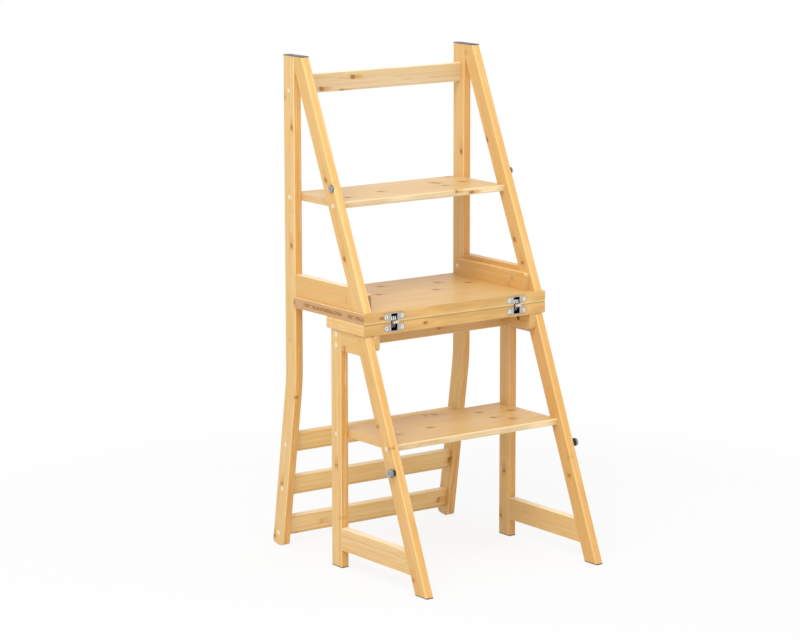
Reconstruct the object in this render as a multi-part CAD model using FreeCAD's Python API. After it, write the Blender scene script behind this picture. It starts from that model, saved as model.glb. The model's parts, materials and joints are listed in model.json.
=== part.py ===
import FreeCAD, Part
import math
import os

os.makedirs("parts", exist_ok=True)

# A wooden chair that unfolds into a ladder with three steps, standing as the ladder.
# X runs along the steps, +Y from the front to the back, and +Z is up.
# Sizes are in millimetres. Depths are measured from the fold line, where the front
# edges of the two seat boards meet, and heights from the floor. At the end all is
# moved along Y, so that the origin is on the floor under the middle of the outer box.

Vector = FreeCAD.Vector
SIDES = {"left": -1, "right": 1}

# Overall sizes
ladder_height = 900.0
frame_width = 392.0
front_foot_reach = 176.0
upper_board_depth = 250.5
lower_board_depth = 114.0

# Timber stock
stock_depth = 31.0
stile_depth = 33.5
stock_thickness = 16.0
stock_round = 2.5
rail_thickness = 13.0
step_thickness = 12.0
felt_thickness = 2.0
felt_inset = 0.8
trim_round = 2.0

# Seat boards
board_thickness = 20.0
board_side_overhang = 4.0
board_rear_overhang = 6.5
closing_gap = 0.3
board_round = 2.0
upper_leg_setback = 3.3
lower_leg_setback = 1.9

# Upper frame
top_flat_depth = 57.2
stile_rake = 8.55
stile_bend_below_fold = 134.0
stile_bend_radius = 350.0
stile_floor_gap = 0.3
stile_end_round = 10.0
upper_apron_height = 39.5
upper_apron_round = 0.8
upper_step_rise = 183.2
top_rail_drop = 35.9
top_rail_height = 34.5
top_rail_screw_drop = 9.5
slat_height = 36.0
slat_levels = {"upper": 196.2, "middle": 113.4, "lower": 35.9}
slat_screw_drops = {"upper": 4.0, "middle": 5.4, "lower": 12.8}
upper_cleat_thickness = 10.0
upper_cleat_height = 32.0
upper_cleat_front = 21.0
upper_cleat_rear = 230.0
upper_cleat_screws = (59.0, 222.5)
upper_cleat_screw_rise = 18.0

# Lower frame
lower_apron_height = 36.0
lower_step_level = 248.1
stretcher_bottom = 32.5
stretcher_height = 41.0
seat_rail_height = 35.0
seat_rail_lap = 8.0
lower_cleat_thickness = 14.0
lower_cleat_height = 28.0
lower_cleat_front = 1.0
lower_cleat_screw_behind_leg = 4.3
lower_cleat_screw_before_post = 14.5
lower_cleat_screw_drop = 11.5
upper_cleat_round = 9.0
lower_cleat_round = 5.0
seat_rail_screw_drops = (8.7, 28.2)

# Steps
step_setback = 13.0
upper_step_rear_inset = 4.5
step_front_round = 3.0
step_rear_round = 1.5

# Wood screws, and the tenons held inside the joints of the side frames
screw_head_radius = 3.4
screw_head_depth = 2.6
screw_shank_radius = 1.7
frame_screw_length = 42.0
cleat_screw_length = 22.0
screw_sides = 8
tenon_thickness = 6.0
tenon_width = 8.0
tenon_length = 30.0
upper_apron_tenon_rise = 29.0
lower_apron_tenon_drop = 19.5
post_tenon_inset = 7.0
upper_leg_tenon_share = 0.55
lower_leg_tenon_share = 0.45

# Catch studs on the outer faces of the legs
upper_stud_above_step = 24.0
upper_stud_inset = 6.4
upper_stud_radius = 6.8
upper_stud_height = 3.8
knob_below_step = 43.0
knob_inset = 8.4
collar_radius = 5.8
collar_height = 6.0
knob_radius = 8.0
knob_height = 5.5
stud_bevel = 0.9
head_sides = 16
stud_shank_radius = 2.0
stud_shank_depth = 12.0

# Concealed hinges
hinge_spacing_share = 0.69
hinge_plate_length = 45.0
hinge_plate_height = 13.5
hinge_plate_thickness = 1.6
plate_end_sides = 8
hinge_screw_spacing = 34.0
hinge_screw_head_radius = 3.6
hinge_screw_shank_radius = 1.3
hinge_screw_length = 14.0
housing_width = 15.0
housing_depth = 12.5
housing_height = 16.0
housing_wall = 1.8
pivot_depth = 3.0
pivot_drop = 2.0
link_reach = 3.0
link_rest_angle = 156.84
hinge_pin_radius = 0.8
pivot_eye_radius = 2.0
centre_eye_radius = 1.9
slotted_eye_radius = 2.7
centre_pin_play = 1.15
pin_clearance = 0.05
eye_sides = 10
leaf_thickness = 1.9
leaf_gap = 0.2
lower_leaves = 2
upper_leaves = 3

# Values worked out from the sizes above
frame_half = frame_width / 2
inner_half = frame_half - stock_thickness
board_half = frame_half + board_side_overhang
fold_height = ladder_height / 2
seat_top = fold_height + board_thickness
seat_underside = fold_height - board_thickness
front_face = closing_gap / 2
stile_rear = upper_board_depth
stile_front = stile_rear - stile_depth
stile_middle = (stile_front + stile_rear) / 2
post_rear = lower_board_depth - board_rear_overhang
post_front = post_rear - stock_depth
post_middle = (post_front + post_rear) / 2
timber_top = ladder_height - felt_thickness
upper_leg_top = stile_rear - top_flat_depth
upper_leg_slope = (upper_leg_top - upper_leg_setback) / (ladder_height - seat_top)
upper_leg_width = stock_depth * math.sqrt(1 + upper_leg_slope ** 2)
lower_leg_slope = (front_foot_reach + lower_leg_setback) / seat_underside
lower_leg_width = stock_depth * math.sqrt(1 + lower_leg_slope ** 2)
rake = math.radians(stile_rake)
stile_bend_height = fold_height - stile_bend_below_fold
upper_step_top = seat_top + upper_step_rise
upper_step_middle = upper_step_top - step_thickness / 2
lower_step_middle = lower_step_level - step_thickness / 2
top_rail_top = ladder_height - top_rail_drop
top_rail_middle = top_rail_top - top_rail_height / 2
seat_rail_front = post_front + seat_rail_lap
seat_rail_middle = seat_rail_front + rail_thickness / 2
upper_stud_level = upper_step_top + upper_stud_above_step
knob_level = lower_step_level - knob_below_step
link_length = math.hypot(pivot_depth + link_reach, pivot_drop)


def upper_leg_front(height):
    """Depth of the upper leg's front edge at a height."""
    return upper_leg_setback + upper_leg_slope * (height - seat_top)


def lower_leg_front(height):
    """Depth of the lower leg's front edge at a height."""
    return lower_leg_setback - lower_leg_slope * (seat_underside - height)


def upper_leg_rear(height):
    return upper_leg_front(height) + upper_leg_width


def lower_leg_rear(height):
    return lower_leg_front(height) + lower_leg_width


def stile_centre(height):
    """Depth of the middle of the stile, which leans back below its bend."""
    return stile_middle + math.tan(rake) * max(0.0, stile_bend_height - height)


# The stile's foot is cut square to its rake, and its two corners are rounded.
stile_corner = stile_depth / 2 - stile_end_round
stile_end_height = (stile_floor_gap + stile_corner * math.sin(rake)
                    + stile_end_round * (1 - math.cos(rake)))
rear_reach = (stile_centre(stile_end_height) + stile_corner * math.cos(rake)
              - stile_end_round * math.sin(rake) + stile_end_round)
origin_depth = (rear_reach - front_foot_reach) / 2


def side_profile(outline, x_from, x_to):
    """A closed outline of (depth, height) points, extruded along X."""
    points = [Vector(x_from, depth, height) for depth, height in outline]
    face = Part.Face(Part.makePolygon(points + points[:1]))
    return face.extrude(Vector(x_to - x_from, 0, 0))


def side_member(outline, side):
    """One piece of frame stock, with its outer face flush with the frame."""
    return side_profile(outline, side * inner_half, side * frame_half)


def cross_member(depth_from, depth_to, height_from, height_to, half_length):
    """A straight piece that runs across the chair."""
    size = (2 * half_length, depth_to - depth_from, height_to - height_from)
    return Part.makeBox(*size, Vector(-half_length, depth_from, height_from))


def direction(edge):
    start = edge.Vertexes[0].Point
    end = edge.Vertexes[-1].Point
    return (end - start).normalize()


def round_along(solid, radius, least_length):
    """Round the long edges that lie in a piece's two side faces."""
    chosen = []
    for edge in solid.Edges:
        if edge.Length > least_length and abs(direction(edge).x) < 0.01:
            chosen.append(edge)
    return solid.makeFillet(radius, chosen)


def round_across(solid, radius, depths=None, heights=None):
    """Round the edges along X, at the given depths or heights only."""
    chosen = []
    for edge in solid.Edges:
        if abs(direction(edge).x) < 0.99:
            continue
        place = edge.CenterOfMass
        right_depth = depths is None or any(abs(place.y - depth) < 0.01 for depth in depths)
        right_height = heights is None or any(abs(place.z - height) < 0.01 for height in heights)
        if right_depth and right_height:
            chosen.append(edge)
    return solid.makeFillet(radius, chosen)


def cut(piece, tools):
    return piece.cut(tools) if tools else piece


def corner_waste(x_from, corner, along, across, radius):
    """What is cut from a square corner to round it, for a piece of frame stock."""
    on_first = corner + along * radius
    on_second = corner + across * radius
    middle = corner + (along + across) * (radius * (1 - math.sqrt(0.5)))
    outer = [on_second - along, corner - along - across, on_first - across]
    edges = [Part.Arc(on_first, middle, on_second).toShape()]
    path = [on_second] + outer + [on_first]
    for start, end in zip(path, path[1:]):
        edges.append(Part.LineSegment(start, end).toShape())
    return Part.Face(Part.Wire(edges)).extrude(Vector(math.copysign(stock_thickness, x_from), 0, 0))


def faceted(start, along, rings, sides):
    """A many-sided solid through rings, each a (distance, radius) along its axis."""
    seed = Vector(0, 0, 1) if abs(along.z) < 0.5 else Vector(1, 0, 0)
    first = along.cross(seed).normalize()
    second = along.cross(first)
    loops = []
    for distance, radius in rings:
        loop = []
        for index in range(sides):
            angle = 2 * math.pi * (index + 0.5) / sides
            spoke = first * math.cos(angle) + second * math.sin(angle)
            loop.append(start + along * distance + spoke * radius)
        loops.append(loop)
    outlines = [loops[0], loops[-1]]
    for near, far in zip(loops, loops[1:]):
        for index in range(sides):
            after = (index + 1) % sides
            outlines.append([near[index], near[after], far[after], far[index]])
    faces = [Part.Face(Part.makePolygon(points + points[:1])) for points in outlines]
    solid = Part.makeSolid(Part.makeShell(faces))
    if solid.Volume < 0:
        solid.reverse()
    return solid


def around(radius, sides):
    """The corner radius of a many-sided hole that just clears a round pin."""
    return (radius + pin_clearance) / math.cos(math.pi / sides)


def save(name, solids):
    """Write one named piece, or one group of like pieces, in the part's own frame."""
    shape = solids if isinstance(solids, Part.Shape) else Part.makeCompound(solids)
    shape = shape.copy()
    shape.translate(Vector(0, -origin_depth, 0))
    for solid in shape.Solids:
        if not solid.isValid():
            raise ValueError(name + " has a bad solid")
    shape.exportStep("parts/" + name + ".step")
    print(f"{name}: {len(shape.Solids)} solids, {shape.Volume / 1000:.2f} cm3")


# Wood screws: each is a countersunk head and a plain shank
def wood_screw(head_centre, along, length, head_radius=screw_head_radius,
               head_depth=screw_head_depth, shank_radius=screw_shank_radius):
    rings = [(0, head_radius), (head_depth, shank_radius), (length, shank_radius)]
    return faceted(head_centre, along, rings, screw_sides)


def frame_screws(side, places):
    """Screws driven inwards through a side frame, at (depth, height) places."""
    screws = []
    for depth, height in places:
        head = Vector(side * frame_half, depth, height)
        screws.append(wood_screw(head, Vector(-side, 0, 0), frame_screw_length))
    return screws


def cleat_screws(side, thickness, places):
    """Screws driven outwards through a cleat."""
    screws = []
    for depth, height in places:
        head = Vector(side * (inner_half - thickness), depth, height)
        screws.append(wood_screw(head, Vector(side, 0, 0), cleat_screw_length))
    return screws


def tenon(side, depth, height, upright=False):
    """A loose tenon whose middle is on the joint between two pieces of frame stock."""
    half_depth = tenon_width / 2 if upright else tenon_length / 2
    half_height = tenon_length / 2 if upright else tenon_width / 2
    outline = [
        (depth - half_depth, height - half_height),
        (depth + half_depth, height - half_height),
        (depth + half_depth, height + half_height),
        (depth - half_depth, height + half_height),
    ]
    middle = inner_half + stock_thickness / 2
    return side_profile(outline, side * (middle - tenon_thickness / 2),
                        side * (middle + tenon_thickness / 2))


top_rail_places = [(stile_middle, top_rail_middle - top_rail_screw_drop)]
upper_step_places = [(stile_middle, upper_step_middle),
                     ((upper_leg_front(upper_step_middle) + upper_leg_rear(upper_step_middle)) / 2,
                      upper_step_middle)]
slat_places = []
for slat, level in slat_levels.items():
    screw_level = level - slat_screw_drops[slat] * math.cos(rake)
    slat_places.append((stile_centre(screw_level), screw_level))
lower_step_places = [(post_middle, lower_step_middle),
                     ((lower_leg_front(lower_step_middle) + lower_leg_rear(lower_step_middle)) / 2,
                      lower_step_middle)]
seat_rail_places = [(seat_rail_middle, seat_underside - drop) for drop in seat_rail_screw_drops]
upper_cleat_places = [(depth, seat_top + upper_cleat_screw_rise) for depth in upper_cleat_screws]
lower_cleat_level = seat_underside - lower_cleat_screw_drop
lower_cleat_places = [
    (lower_leg_rear(lower_cleat_level) + lower_cleat_screw_behind_leg, lower_cleat_level),
    (post_front - lower_cleat_screw_before_post, lower_cleat_level),
]

upper_places = top_rail_places + upper_step_places + slat_places
lower_places = lower_step_places + seat_rail_places
upper_screws = {side: frame_screws(side, upper_places) for side in SIDES.values()}
lower_screws = {side: frame_screws(side, lower_places) for side in SIDES.values()}
upper_cleat_set = {side: cleat_screws(side, upper_cleat_thickness, upper_cleat_places)
                   for side in SIDES.values()}
lower_cleat_set = {side: cleat_screws(side, lower_cleat_thickness, lower_cleat_places)
                   for side in SIDES.values()}


# Tenons between the pieces of each side frame
upper_apron_tenon = seat_top + upper_apron_tenon_rise
lower_apron_tenon = seat_underside - lower_apron_tenon_drop
stretcher_middle = stretcher_bottom + stretcher_height / 2
leg_meets_stile = seat_top + (stile_front - upper_leg_width - upper_leg_setback) / upper_leg_slope
top_joint_level = (leg_meets_stile + 2 * timber_top) / 3
upper_leg_tenon = upper_leg_setback + upper_leg_width * upper_leg_tenon_share
lower_leg_tenon = lower_leg_setback + lower_leg_width * lower_leg_tenon_share


def upper_tenons(side):
    return [
        tenon(side, stile_front, upper_apron_tenon),
        tenon(side, upper_leg_rear(upper_apron_tenon), upper_apron_tenon),
        tenon(side, stile_front, top_joint_level),
        tenon(side, upper_leg_tenon, seat_top, upright=True),
    ]


def lower_tenons(side):
    return [
        tenon(side, post_front, lower_apron_tenon),
        tenon(side, lower_leg_rear(lower_apron_tenon), lower_apron_tenon),
        tenon(side, post_front, stretcher_middle),
        tenon(side, lower_leg_rear(stretcher_middle), stretcher_middle),
        tenon(side, lower_leg_tenon, seat_underside, upright=True),
        tenon(side, post_rear - post_tenon_inset, seat_underside, upright=True),
    ]


upper_tenon_set = {side: upper_tenons(side) for side in SIDES.values()}
lower_tenon_set = {side: lower_tenons(side) for side in SIDES.values()}


# Catch studs: a flat steel head on the upper leg, and a knob on a collar on the lower leg
def bevelled_head(radius, length, start, along):
    """A catch head, with its far rim bevelled."""
    rings = [(0, radius), (length - stud_bevel, radius), (length, radius - stud_bevel)]
    return faceted(start, along, rings, head_sides)


def stud_shank(head_start, outwards, length):
    """The plain shank that holds a catch head, from the head inwards."""
    return faceted(head_start, -outwards, [(0, stud_shank_radius), (length, stud_shank_radius)],
                   screw_sides)


def upper_stud(side):
    depth = upper_leg_front(upper_stud_level) + upper_stud_inset
    face = Vector(side * frame_half, depth, upper_stud_level)
    outwards = Vector(side, 0, 0)
    head = bevelled_head(upper_stud_radius, upper_stud_height, face, outwards)
    return head.fuse(stud_shank(face, outwards, stud_shank_depth))


knob_depth = lower_leg_front(knob_level) + knob_inset


def latch_knob(side):
    outwards = Vector(side, 0, 0)
    seat = Vector(side * (frame_half + collar_height), knob_depth, knob_level)
    head = bevelled_head(knob_radius, knob_height, seat, outwards)
    return head.fuse(stud_shank(seat, outwards, collar_height + stud_shank_depth))


def latch_collar(side):
    face = Vector(side * frame_half, knob_depth, knob_level)
    rings = [(0, collar_radius), (collar_height, collar_radius)]
    ring = faceted(face, Vector(side, 0, 0), rings, head_sides)
    return ring.cut(latch_knob(side))


upper_studs = {side: upper_stud(side) for side in SIDES.values()}
latch_knobs = {side: latch_knob(side) for side in SIDES.values()}


# Concealed hinges, built below the fold line; the upper halves are their mirror image
across_chair = Vector(1, 0, 0)


def mirrored(shape):
    return shape.mirror(Vector(0, 0, fold_height), Vector(0, 0, 1))


def hinge_screw_set(centre):
    """The two countersunk screws of one hinge plate."""
    level = fold_height - board_thickness / 2
    screws = []
    for offset in (-hinge_screw_spacing / 2, hinge_screw_spacing / 2):
        head = Vector(centre + offset, front_face, level)
        screws.append(wood_screw(head, Vector(0, 1, 0), hinge_screw_length,
                                 hinge_screw_head_radius, hinge_plate_thickness,
                                 hinge_screw_shank_radius))
    return screws


def hinge_blank(centre):
    """The outside of one hinge cup: an oval face plate with a housing behind it."""
    level = fold_height - board_thickness / 2
    end_radius = hinge_plate_height / 2
    reach = hinge_plate_length / 2 - end_radius
    points = []
    for side in (1, -1):
        for index in range(plate_end_sides + 1):
            turn = math.pi * (index / plate_end_sides - 0.5)
            points.append(Vector(centre + side * (reach + end_radius * math.cos(turn)), front_face,
                                 level + side * end_radius * math.sin(turn)))
    outline = Part.Face(Part.makePolygon(points + points[:1]))
    plate = outline.extrude(Vector(0, hinge_plate_thickness, 0))
    housing = Part.makeBox(housing_width, housing_depth, housing_height,
                           Vector(centre - housing_width / 2, front_face,
                                  fold_height - housing_height))
    return plate.fuse(housing).removeSplitter()


pivot_pin_length = housing_width - housing_wall


def pivot_start(centre):
    return Vector(centre - pivot_pin_length / 2, pivot_depth, fold_height - pivot_drop)


def pivot_pin(centre):
    return Part.makeCylinder(hinge_pin_radius, pivot_pin_length, pivot_start(centre), across_chair)


def hinge_cup(centre):
    """A hinge cup, open to the front and to the fold line for the links."""
    cavity = Part.makeBox(housing_width - 2 * housing_wall,
                          housing_depth - housing_wall + 1,
                          housing_height - housing_wall + 1,
                          Vector(centre - housing_width / 2 + housing_wall, front_face - 1,
                                 fold_height - housing_height + housing_wall))
    pocket_radius = around(hinge_pin_radius, screw_sides)
    pocket = faceted(pivot_start(centre), across_chair,
                     [(0, pocket_radius), (pivot_pin_length, pocket_radius)], screw_sides)
    return hinge_blank(centre).cut([cavity, pocket] + hinge_screw_set(centre))


def leaf_offsets(count):
    pitch = 2 * (leaf_thickness + leaf_gap)
    return [(index - (count - 1) / 2) * pitch for index in range(count)]


def link_leaf(middle, eye_radius, hole_radius):
    """One leaf: a tapered bar with an eye for the pivot pin and one for the centre pin."""
    angle = math.radians(link_rest_angle)
    pivot = Vector(middle - leaf_thickness / 2, pivot_depth, fold_height - pivot_drop)
    along = Vector(0, math.cos(angle), math.sin(angle))
    across = Vector(0, -math.sin(angle), math.cos(angle))
    far = pivot + along * link_length
    taper = math.asin((pivot_eye_radius - eye_radius) / link_length)
    half_turn = eye_sides // 2
    points = []
    for end, radius, first, last in ((far, eye_radius, taper - math.pi / 2, math.pi / 2 - taper),
                                     (pivot, pivot_eye_radius, math.pi / 2 - taper,
                                      3 * math.pi / 2 + taper)):
        for index in range(half_turn + 1):
            turn = first + (last - first) * index / half_turn
            points.append(end + (along * math.cos(turn) + across * math.sin(turn)) * radius)
    leaf = Part.Face(Part.makePolygon(points + points[:1])).extrude(across_chair * leaf_thickness)
    holes = []
    for end, radius in ((pivot, around(hinge_pin_radius, eye_sides)),
                        (far, around(hole_radius, eye_sides))):
        holes.append(faceted(end, across_chair, [(0, radius), (leaf_thickness, radius)], eye_sides))
    return leaf.cut(holes)


def centre_pin(centre):
    angle = math.radians(link_rest_angle)
    leaves = lower_leaves + upper_leaves
    length = leaves * leaf_thickness + (leaves - 1) * leaf_gap
    start = Vector(centre - length / 2, pivot_depth + link_length * math.cos(angle),
                   fold_height - pivot_drop + link_length * math.sin(angle))
    return Part.makeCylinder(hinge_pin_radius, length, start, across_chair)


hinge_spacing = frame_width * hinge_spacing_share
hinge_centres = {name: side * hinge_spacing / 2 for name, side in SIDES.items()}
lower_hinge_cuts = []
upper_hinge_cuts = []
for centre in hinge_centres.values():
    cuts = [hinge_blank(centre)] + hinge_screw_set(centre)
    lower_hinge_cuts += cuts
    upper_hinge_cuts += [mirrored(tool) for tool in cuts]


# Side frames
def upper_leg(side):
    """The inclined upper leg: it stands on the board, and its top lies against the stile."""
    outline = [
        (upper_leg_front(seat_top), seat_top),
        (upper_leg_rear(seat_top), seat_top),
        (stile_front, leg_meets_stile),
        (stile_front, timber_top),
        (upper_leg_front(timber_top), timber_top),
    ]
    leg = round_along(side_member(outline, side), stock_round, 60)
    return cut(leg, upper_screws[side] + upper_tenon_set[side] + [upper_studs[side]])


def back_stile(side):
    """The rear stile: upright above its bend, raked below it, with a rounded foot."""
    x_from = side * inner_half
    half = stile_depth / 2
    upwards = Vector(0, -math.sin(rake), math.cos(rake))
    rearwards = Vector(0, math.cos(rake), math.sin(rake))
    tangent = stile_bend_radius * math.tan(rake / 2)
    end = Vector(x_from, stile_centre(stile_end_height), stile_end_height)
    centre_of_bend = Vector(x_from, stile_middle + stile_bend_radius, stile_bend_height + tangent)

    def bend_points(radius):
        """The start, middle and end of a bend line at a radius."""
        places = []
        for turn in (0.0, rake / 2, rake):
            places.append(centre_of_bend - Vector(0, radius * math.cos(turn), radius * math.sin(turn)))
        return places

    front_bend = bend_points(stile_bend_radius + half)
    rear_bend = bend_points(stile_bend_radius - half)
    top_front = Vector(x_from, stile_front, timber_top)
    top_rear = Vector(x_from, stile_rear, timber_top)
    rear_corner = end + rearwards * half
    front_corner = end - rearwards * half
    edges = [
        Part.LineSegment(top_front, top_rear),
        Part.LineSegment(top_rear, rear_bend[0]),
        Part.Arc(*rear_bend),
        Part.LineSegment(rear_bend[2], rear_corner),
        Part.LineSegment(rear_corner, front_corner),
        Part.LineSegment(front_corner, front_bend[2]),
        Part.Arc(*reversed(front_bend)),
        Part.LineSegment(front_bend[0], top_front),
    ]
    outline = Part.Wire([edge.toShape() for edge in edges])
    stile = Part.Face(outline).extrude(Vector(side * stock_thickness, 0, 0))
    stile = round_along(stile, stock_round, stile_depth + 1)
    waste = [corner_waste(x_from, rear_corner, upwards, -rearwards, stile_end_round),
             corner_waste(x_from, front_corner, upwards, rearwards, stile_end_round)]
    return cut(stile, waste + upper_screws[side] + upper_tenon_set[side] + upper_cleat_set[side])


def upper_apron(side):
    top = seat_top + upper_apron_height
    outline = [
        (upper_leg_rear(seat_top), seat_top),
        (stile_front, seat_top),
        (stile_front, top),
        (upper_leg_rear(top), top),
    ]
    apron = round_across(side_member(outline, side), upper_apron_round, heights=[top])
    return cut(apron, upper_tenon_set[side] + upper_cleat_set[side])


def lower_leg(side):
    """The front leg, cut flat at both ends."""
    outline = [
        (lower_leg_front(seat_underside), seat_underside),
        (lower_leg_rear(seat_underside), seat_underside),
        (lower_leg_rear(felt_thickness), felt_thickness),
        (lower_leg_front(felt_thickness), felt_thickness),
    ]
    leg = round_along(side_member(outline, side), stock_round, 60)
    return cut(leg, lower_screws[side] + lower_tenon_set[side] + [latch_knobs[side]])


def lower_post(side):
    outline = [
        (post_front, seat_underside),
        (post_rear, seat_underside),
        (post_rear, felt_thickness),
        (post_front, felt_thickness),
    ]
    post = round_along(side_member(outline, side), stock_round, 60)
    return cut(post, lower_screws[side] + lower_tenon_set[side] + lower_cleat_set[side])


def foot_felt(side, top_front, top_rear, bottom_front, bottom_rear):
    """A felt pad under a leg or post, a little narrower than the stock."""
    outline = [(bottom_front, 0), (bottom_rear, 0),
               (top_rear, felt_thickness), (top_front, felt_thickness)]
    return side_profile(outline, side * (inner_half + felt_inset), side * (frame_half - felt_inset))


def lower_apron(side):
    bottom = seat_underside - lower_apron_height
    outline = [
        (lower_leg_rear(seat_underside), seat_underside),
        (post_front, seat_underside),
        (post_front, bottom),
        (lower_leg_rear(bottom), bottom),
    ]
    return cut(side_member(outline, side), lower_tenon_set[side] + lower_cleat_set[side])


def side_stretcher(side):
    top = stretcher_bottom + stretcher_height
    outline = [
        (lower_leg_rear(stretcher_bottom), stretcher_bottom),
        (post_front, stretcher_bottom),
        (post_front, top),
        (lower_leg_rear(top), top),
    ]
    stretcher = round_along(side_member(outline, side), trim_round, stretcher_height + 5)
    return cut(stretcher, lower_tenon_set[side])


def top_felt(side):
    """One felt pad over the flat tops of the leg and the stile."""
    outline = [
        (upper_leg_front(timber_top), timber_top),
        (stile_rear, timber_top),
        (stile_rear, ladder_height),
        (upper_leg_front(ladder_height), ladder_height),
    ]
    return side_member(outline, side)


# Cleats, which carry the boards along the inside of the side frames
def cleat(side, thickness, depth_from, depth_to, height_from, height_to, rounded_height, radius):
    x_from = side * (inner_half - thickness)
    outline = [(depth_from, height_from), (depth_to, height_from),
               (depth_to, height_to), (depth_from, height_to)]
    piece = side_profile(outline, x_from, side * inner_half)
    edges = []
    for edge in piece.Edges:
        place = edge.CenterOfMass
        if abs(place.x - x_from) < 0.01 and abs(place.z - rounded_height) < 0.01:
            edges.append(edge)
    piece = piece.makeFillet(trim_round, edges)
    corner = Vector(x_from, depth_from, rounded_height)
    inwards = Vector(0, 0, 1 if rounded_height == height_from else -1)
    return piece.cut(corner_waste(x_from, corner, Vector(0, 1, 0), inwards, radius))


def upper_cleat(side):
    top = seat_top + upper_cleat_height
    piece = cleat(side, upper_cleat_thickness, upper_cleat_front, upper_cleat_rear,
                  seat_top, top, top, upper_cleat_round)
    return cut(piece, upper_cleat_set[side])


def lower_cleat(side):
    bottom = seat_underside - lower_cleat_height
    piece = cleat(side, lower_cleat_thickness, lower_cleat_front, seat_rail_front,
                  bottom, seat_underside, bottom, lower_cleat_round)
    return cut(piece, lower_cleat_set[side])


# Boards, steps, rails and slats
def lower_board():
    board = cross_member(front_face, lower_board_depth, seat_underside, fold_height, board_half)
    rear_and_sides = []
    for edge in board.Edges:
        at_front = edge.CenterOfMass.y < front_face + 0.01
        if not at_front and abs(direction(edge).z) < 0.01:
            rear_and_sides.append(edge)
    board = board.makeFillet(board_round, rear_and_sides)
    return cut(board, lower_hinge_cuts + both_sides(lower_tenon_set))


def upper_board():
    """The deep seat board, notched at its rear corners for the stiles."""
    outline = [
        (-board_half, front_face), (board_half, front_face), (board_half, stile_front),
        (inner_half, stile_front), (inner_half, upper_board_depth),
        (-inner_half, upper_board_depth), (-inner_half, stile_front), (-board_half, stile_front),
    ]
    points = [Vector(x, depth, fold_height) for x, depth in outline]
    face = Part.Face(Part.makePolygon(points + points[:1]))
    board = face.extrude(Vector(0, 0, board_thickness))
    chosen = []
    for edge in board.Edges:
        place = edge.CenterOfMass
        on_side = abs(abs(place.x) - board_half) < 0.01 and abs(direction(edge).y) > 0.99
        on_rear = abs(place.y - upper_board_depth) < 0.01 and abs(direction(edge).x) > 0.99
        if on_side or on_rear:
            chosen.append(edge)
    board = board.makeFillet(board_round, chosen)
    return cut(board, upper_hinge_cuts + both_sides(upper_tenon_set))


def step(depth_from, depth_to, top, screws):
    bottom = top - step_thickness
    piece = cross_member(depth_from, depth_to, bottom, top, inner_half)
    piece = round_across(piece, step_front_round, [depth_from])
    piece = round_across(piece, step_rear_round, [depth_to])
    return cut(piece, screws)


def both_sides(sets):
    return sets[-1] + sets[1]


def top_rail():
    front = stile_middle - rail_thickness / 2
    rail = cross_member(front, front + rail_thickness, top_rail_top - top_rail_height,
                        top_rail_top, inner_half)
    return cut(round_across(rail, trim_round), both_sides(upper_screws))


def back_slat(level):
    """A flat slat on the stiles' centre line, square to their rake."""
    slat = cross_member(-rail_thickness / 2, rail_thickness / 2, -slat_height / 2,
                        slat_height / 2, inner_half)
    slat = round_across(slat, trim_round)
    slat.rotate(Vector(0, 0, 0), Vector(1, 0, 0), stile_rake)
    slat.translate(Vector(0, stile_centre(level), level))
    return cut(slat, both_sides(upper_screws))


def rear_seat_rail():
    rail = cross_member(seat_rail_front, seat_rail_front + rail_thickness,
                        seat_underside - seat_rail_height, seat_underside, inner_half)
    rail = round_across(rail, trim_round, heights=[seat_underside - seat_rail_height])
    return cut(rail, both_sides(lower_screws))


# Write the lower frame
for name, side in SIDES.items():
    save(name + "_front_leg", lower_leg(side))
    save(name + "_front_foot_pad", foot_felt(side, lower_leg_front(felt_thickness),
                                             lower_leg_rear(felt_thickness), lower_leg_front(0),
                                             lower_leg_rear(0)))
    save(name + "_rear_post", lower_post(side))
    save(name + "_rear_foot_pad", foot_felt(side, post_front, post_rear, post_front, post_rear))
    save(name + "_lower_apron", lower_apron(side))
    save(name + "_side_stretcher", side_stretcher(side))
    save(name + "_lower_cleat", lower_cleat(side))
    save(name + "_latch_collar", latch_collar(side))
    save(name + "_latch_knob", latch_knobs[side])
    save(name + "_lower_hinge_cup", hinge_cup(hinge_centres[name]))

save("lower_seat_board", lower_board())
save("rear_seat_rail", rear_seat_rail())
save("lower_step", step(lower_leg_front(lower_step_middle) + step_setback, post_rear,
                        lower_step_level, both_sides(lower_screws)))
save("lower_frame_screws", both_sides(lower_screws))
save("lower_cleat_screws", both_sides(lower_cleat_set))
save("lower_tenons", both_sides(lower_tenon_set))
save("lower_hinge_screws", [screw for centre in hinge_centres.values()
                            for screw in hinge_screw_set(centre)])
save("lower_hinge_pins", [pivot_pin(centre) for centre in hinge_centres.values()])

# Write the upper frame
for name, side in SIDES.items():
    save(name + "_back_stile", back_stile(side))
    save(name + "_upper_leg", upper_leg(side))
    save(name + "_upper_apron", upper_apron(side))
    save(name + "_upper_cleat", upper_cleat(side))
    save(name + "_top_pad", top_felt(side))
    save(name + "_upper_stud", upper_studs[side])
    save(name + "_upper_hinge_cup", mirrored(hinge_cup(hinge_centres[name])))

save("upper_seat_board", upper_board())
save("upper_step", step(upper_leg_front(upper_step_middle) + step_setback,
                        stile_rear - upper_step_rear_inset, upper_step_top,
                        both_sides(upper_screws)))
save("top_rail", top_rail())
for slat, level in slat_levels.items():
    save(slat + "_back_slat", back_slat(level))
save("upper_frame_screws", both_sides(upper_screws))
save("upper_cleat_screws", both_sides(upper_cleat_set))
save("upper_tenons", both_sides(upper_tenon_set))
save("upper_hinge_screws", [mirrored(screw) for centre in hinge_centres.values()
                            for screw in hinge_screw_set(centre)])
save("upper_hinge_pins", [mirrored(pivot_pin(centre)) for centre in hinge_centres.values()])

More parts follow.
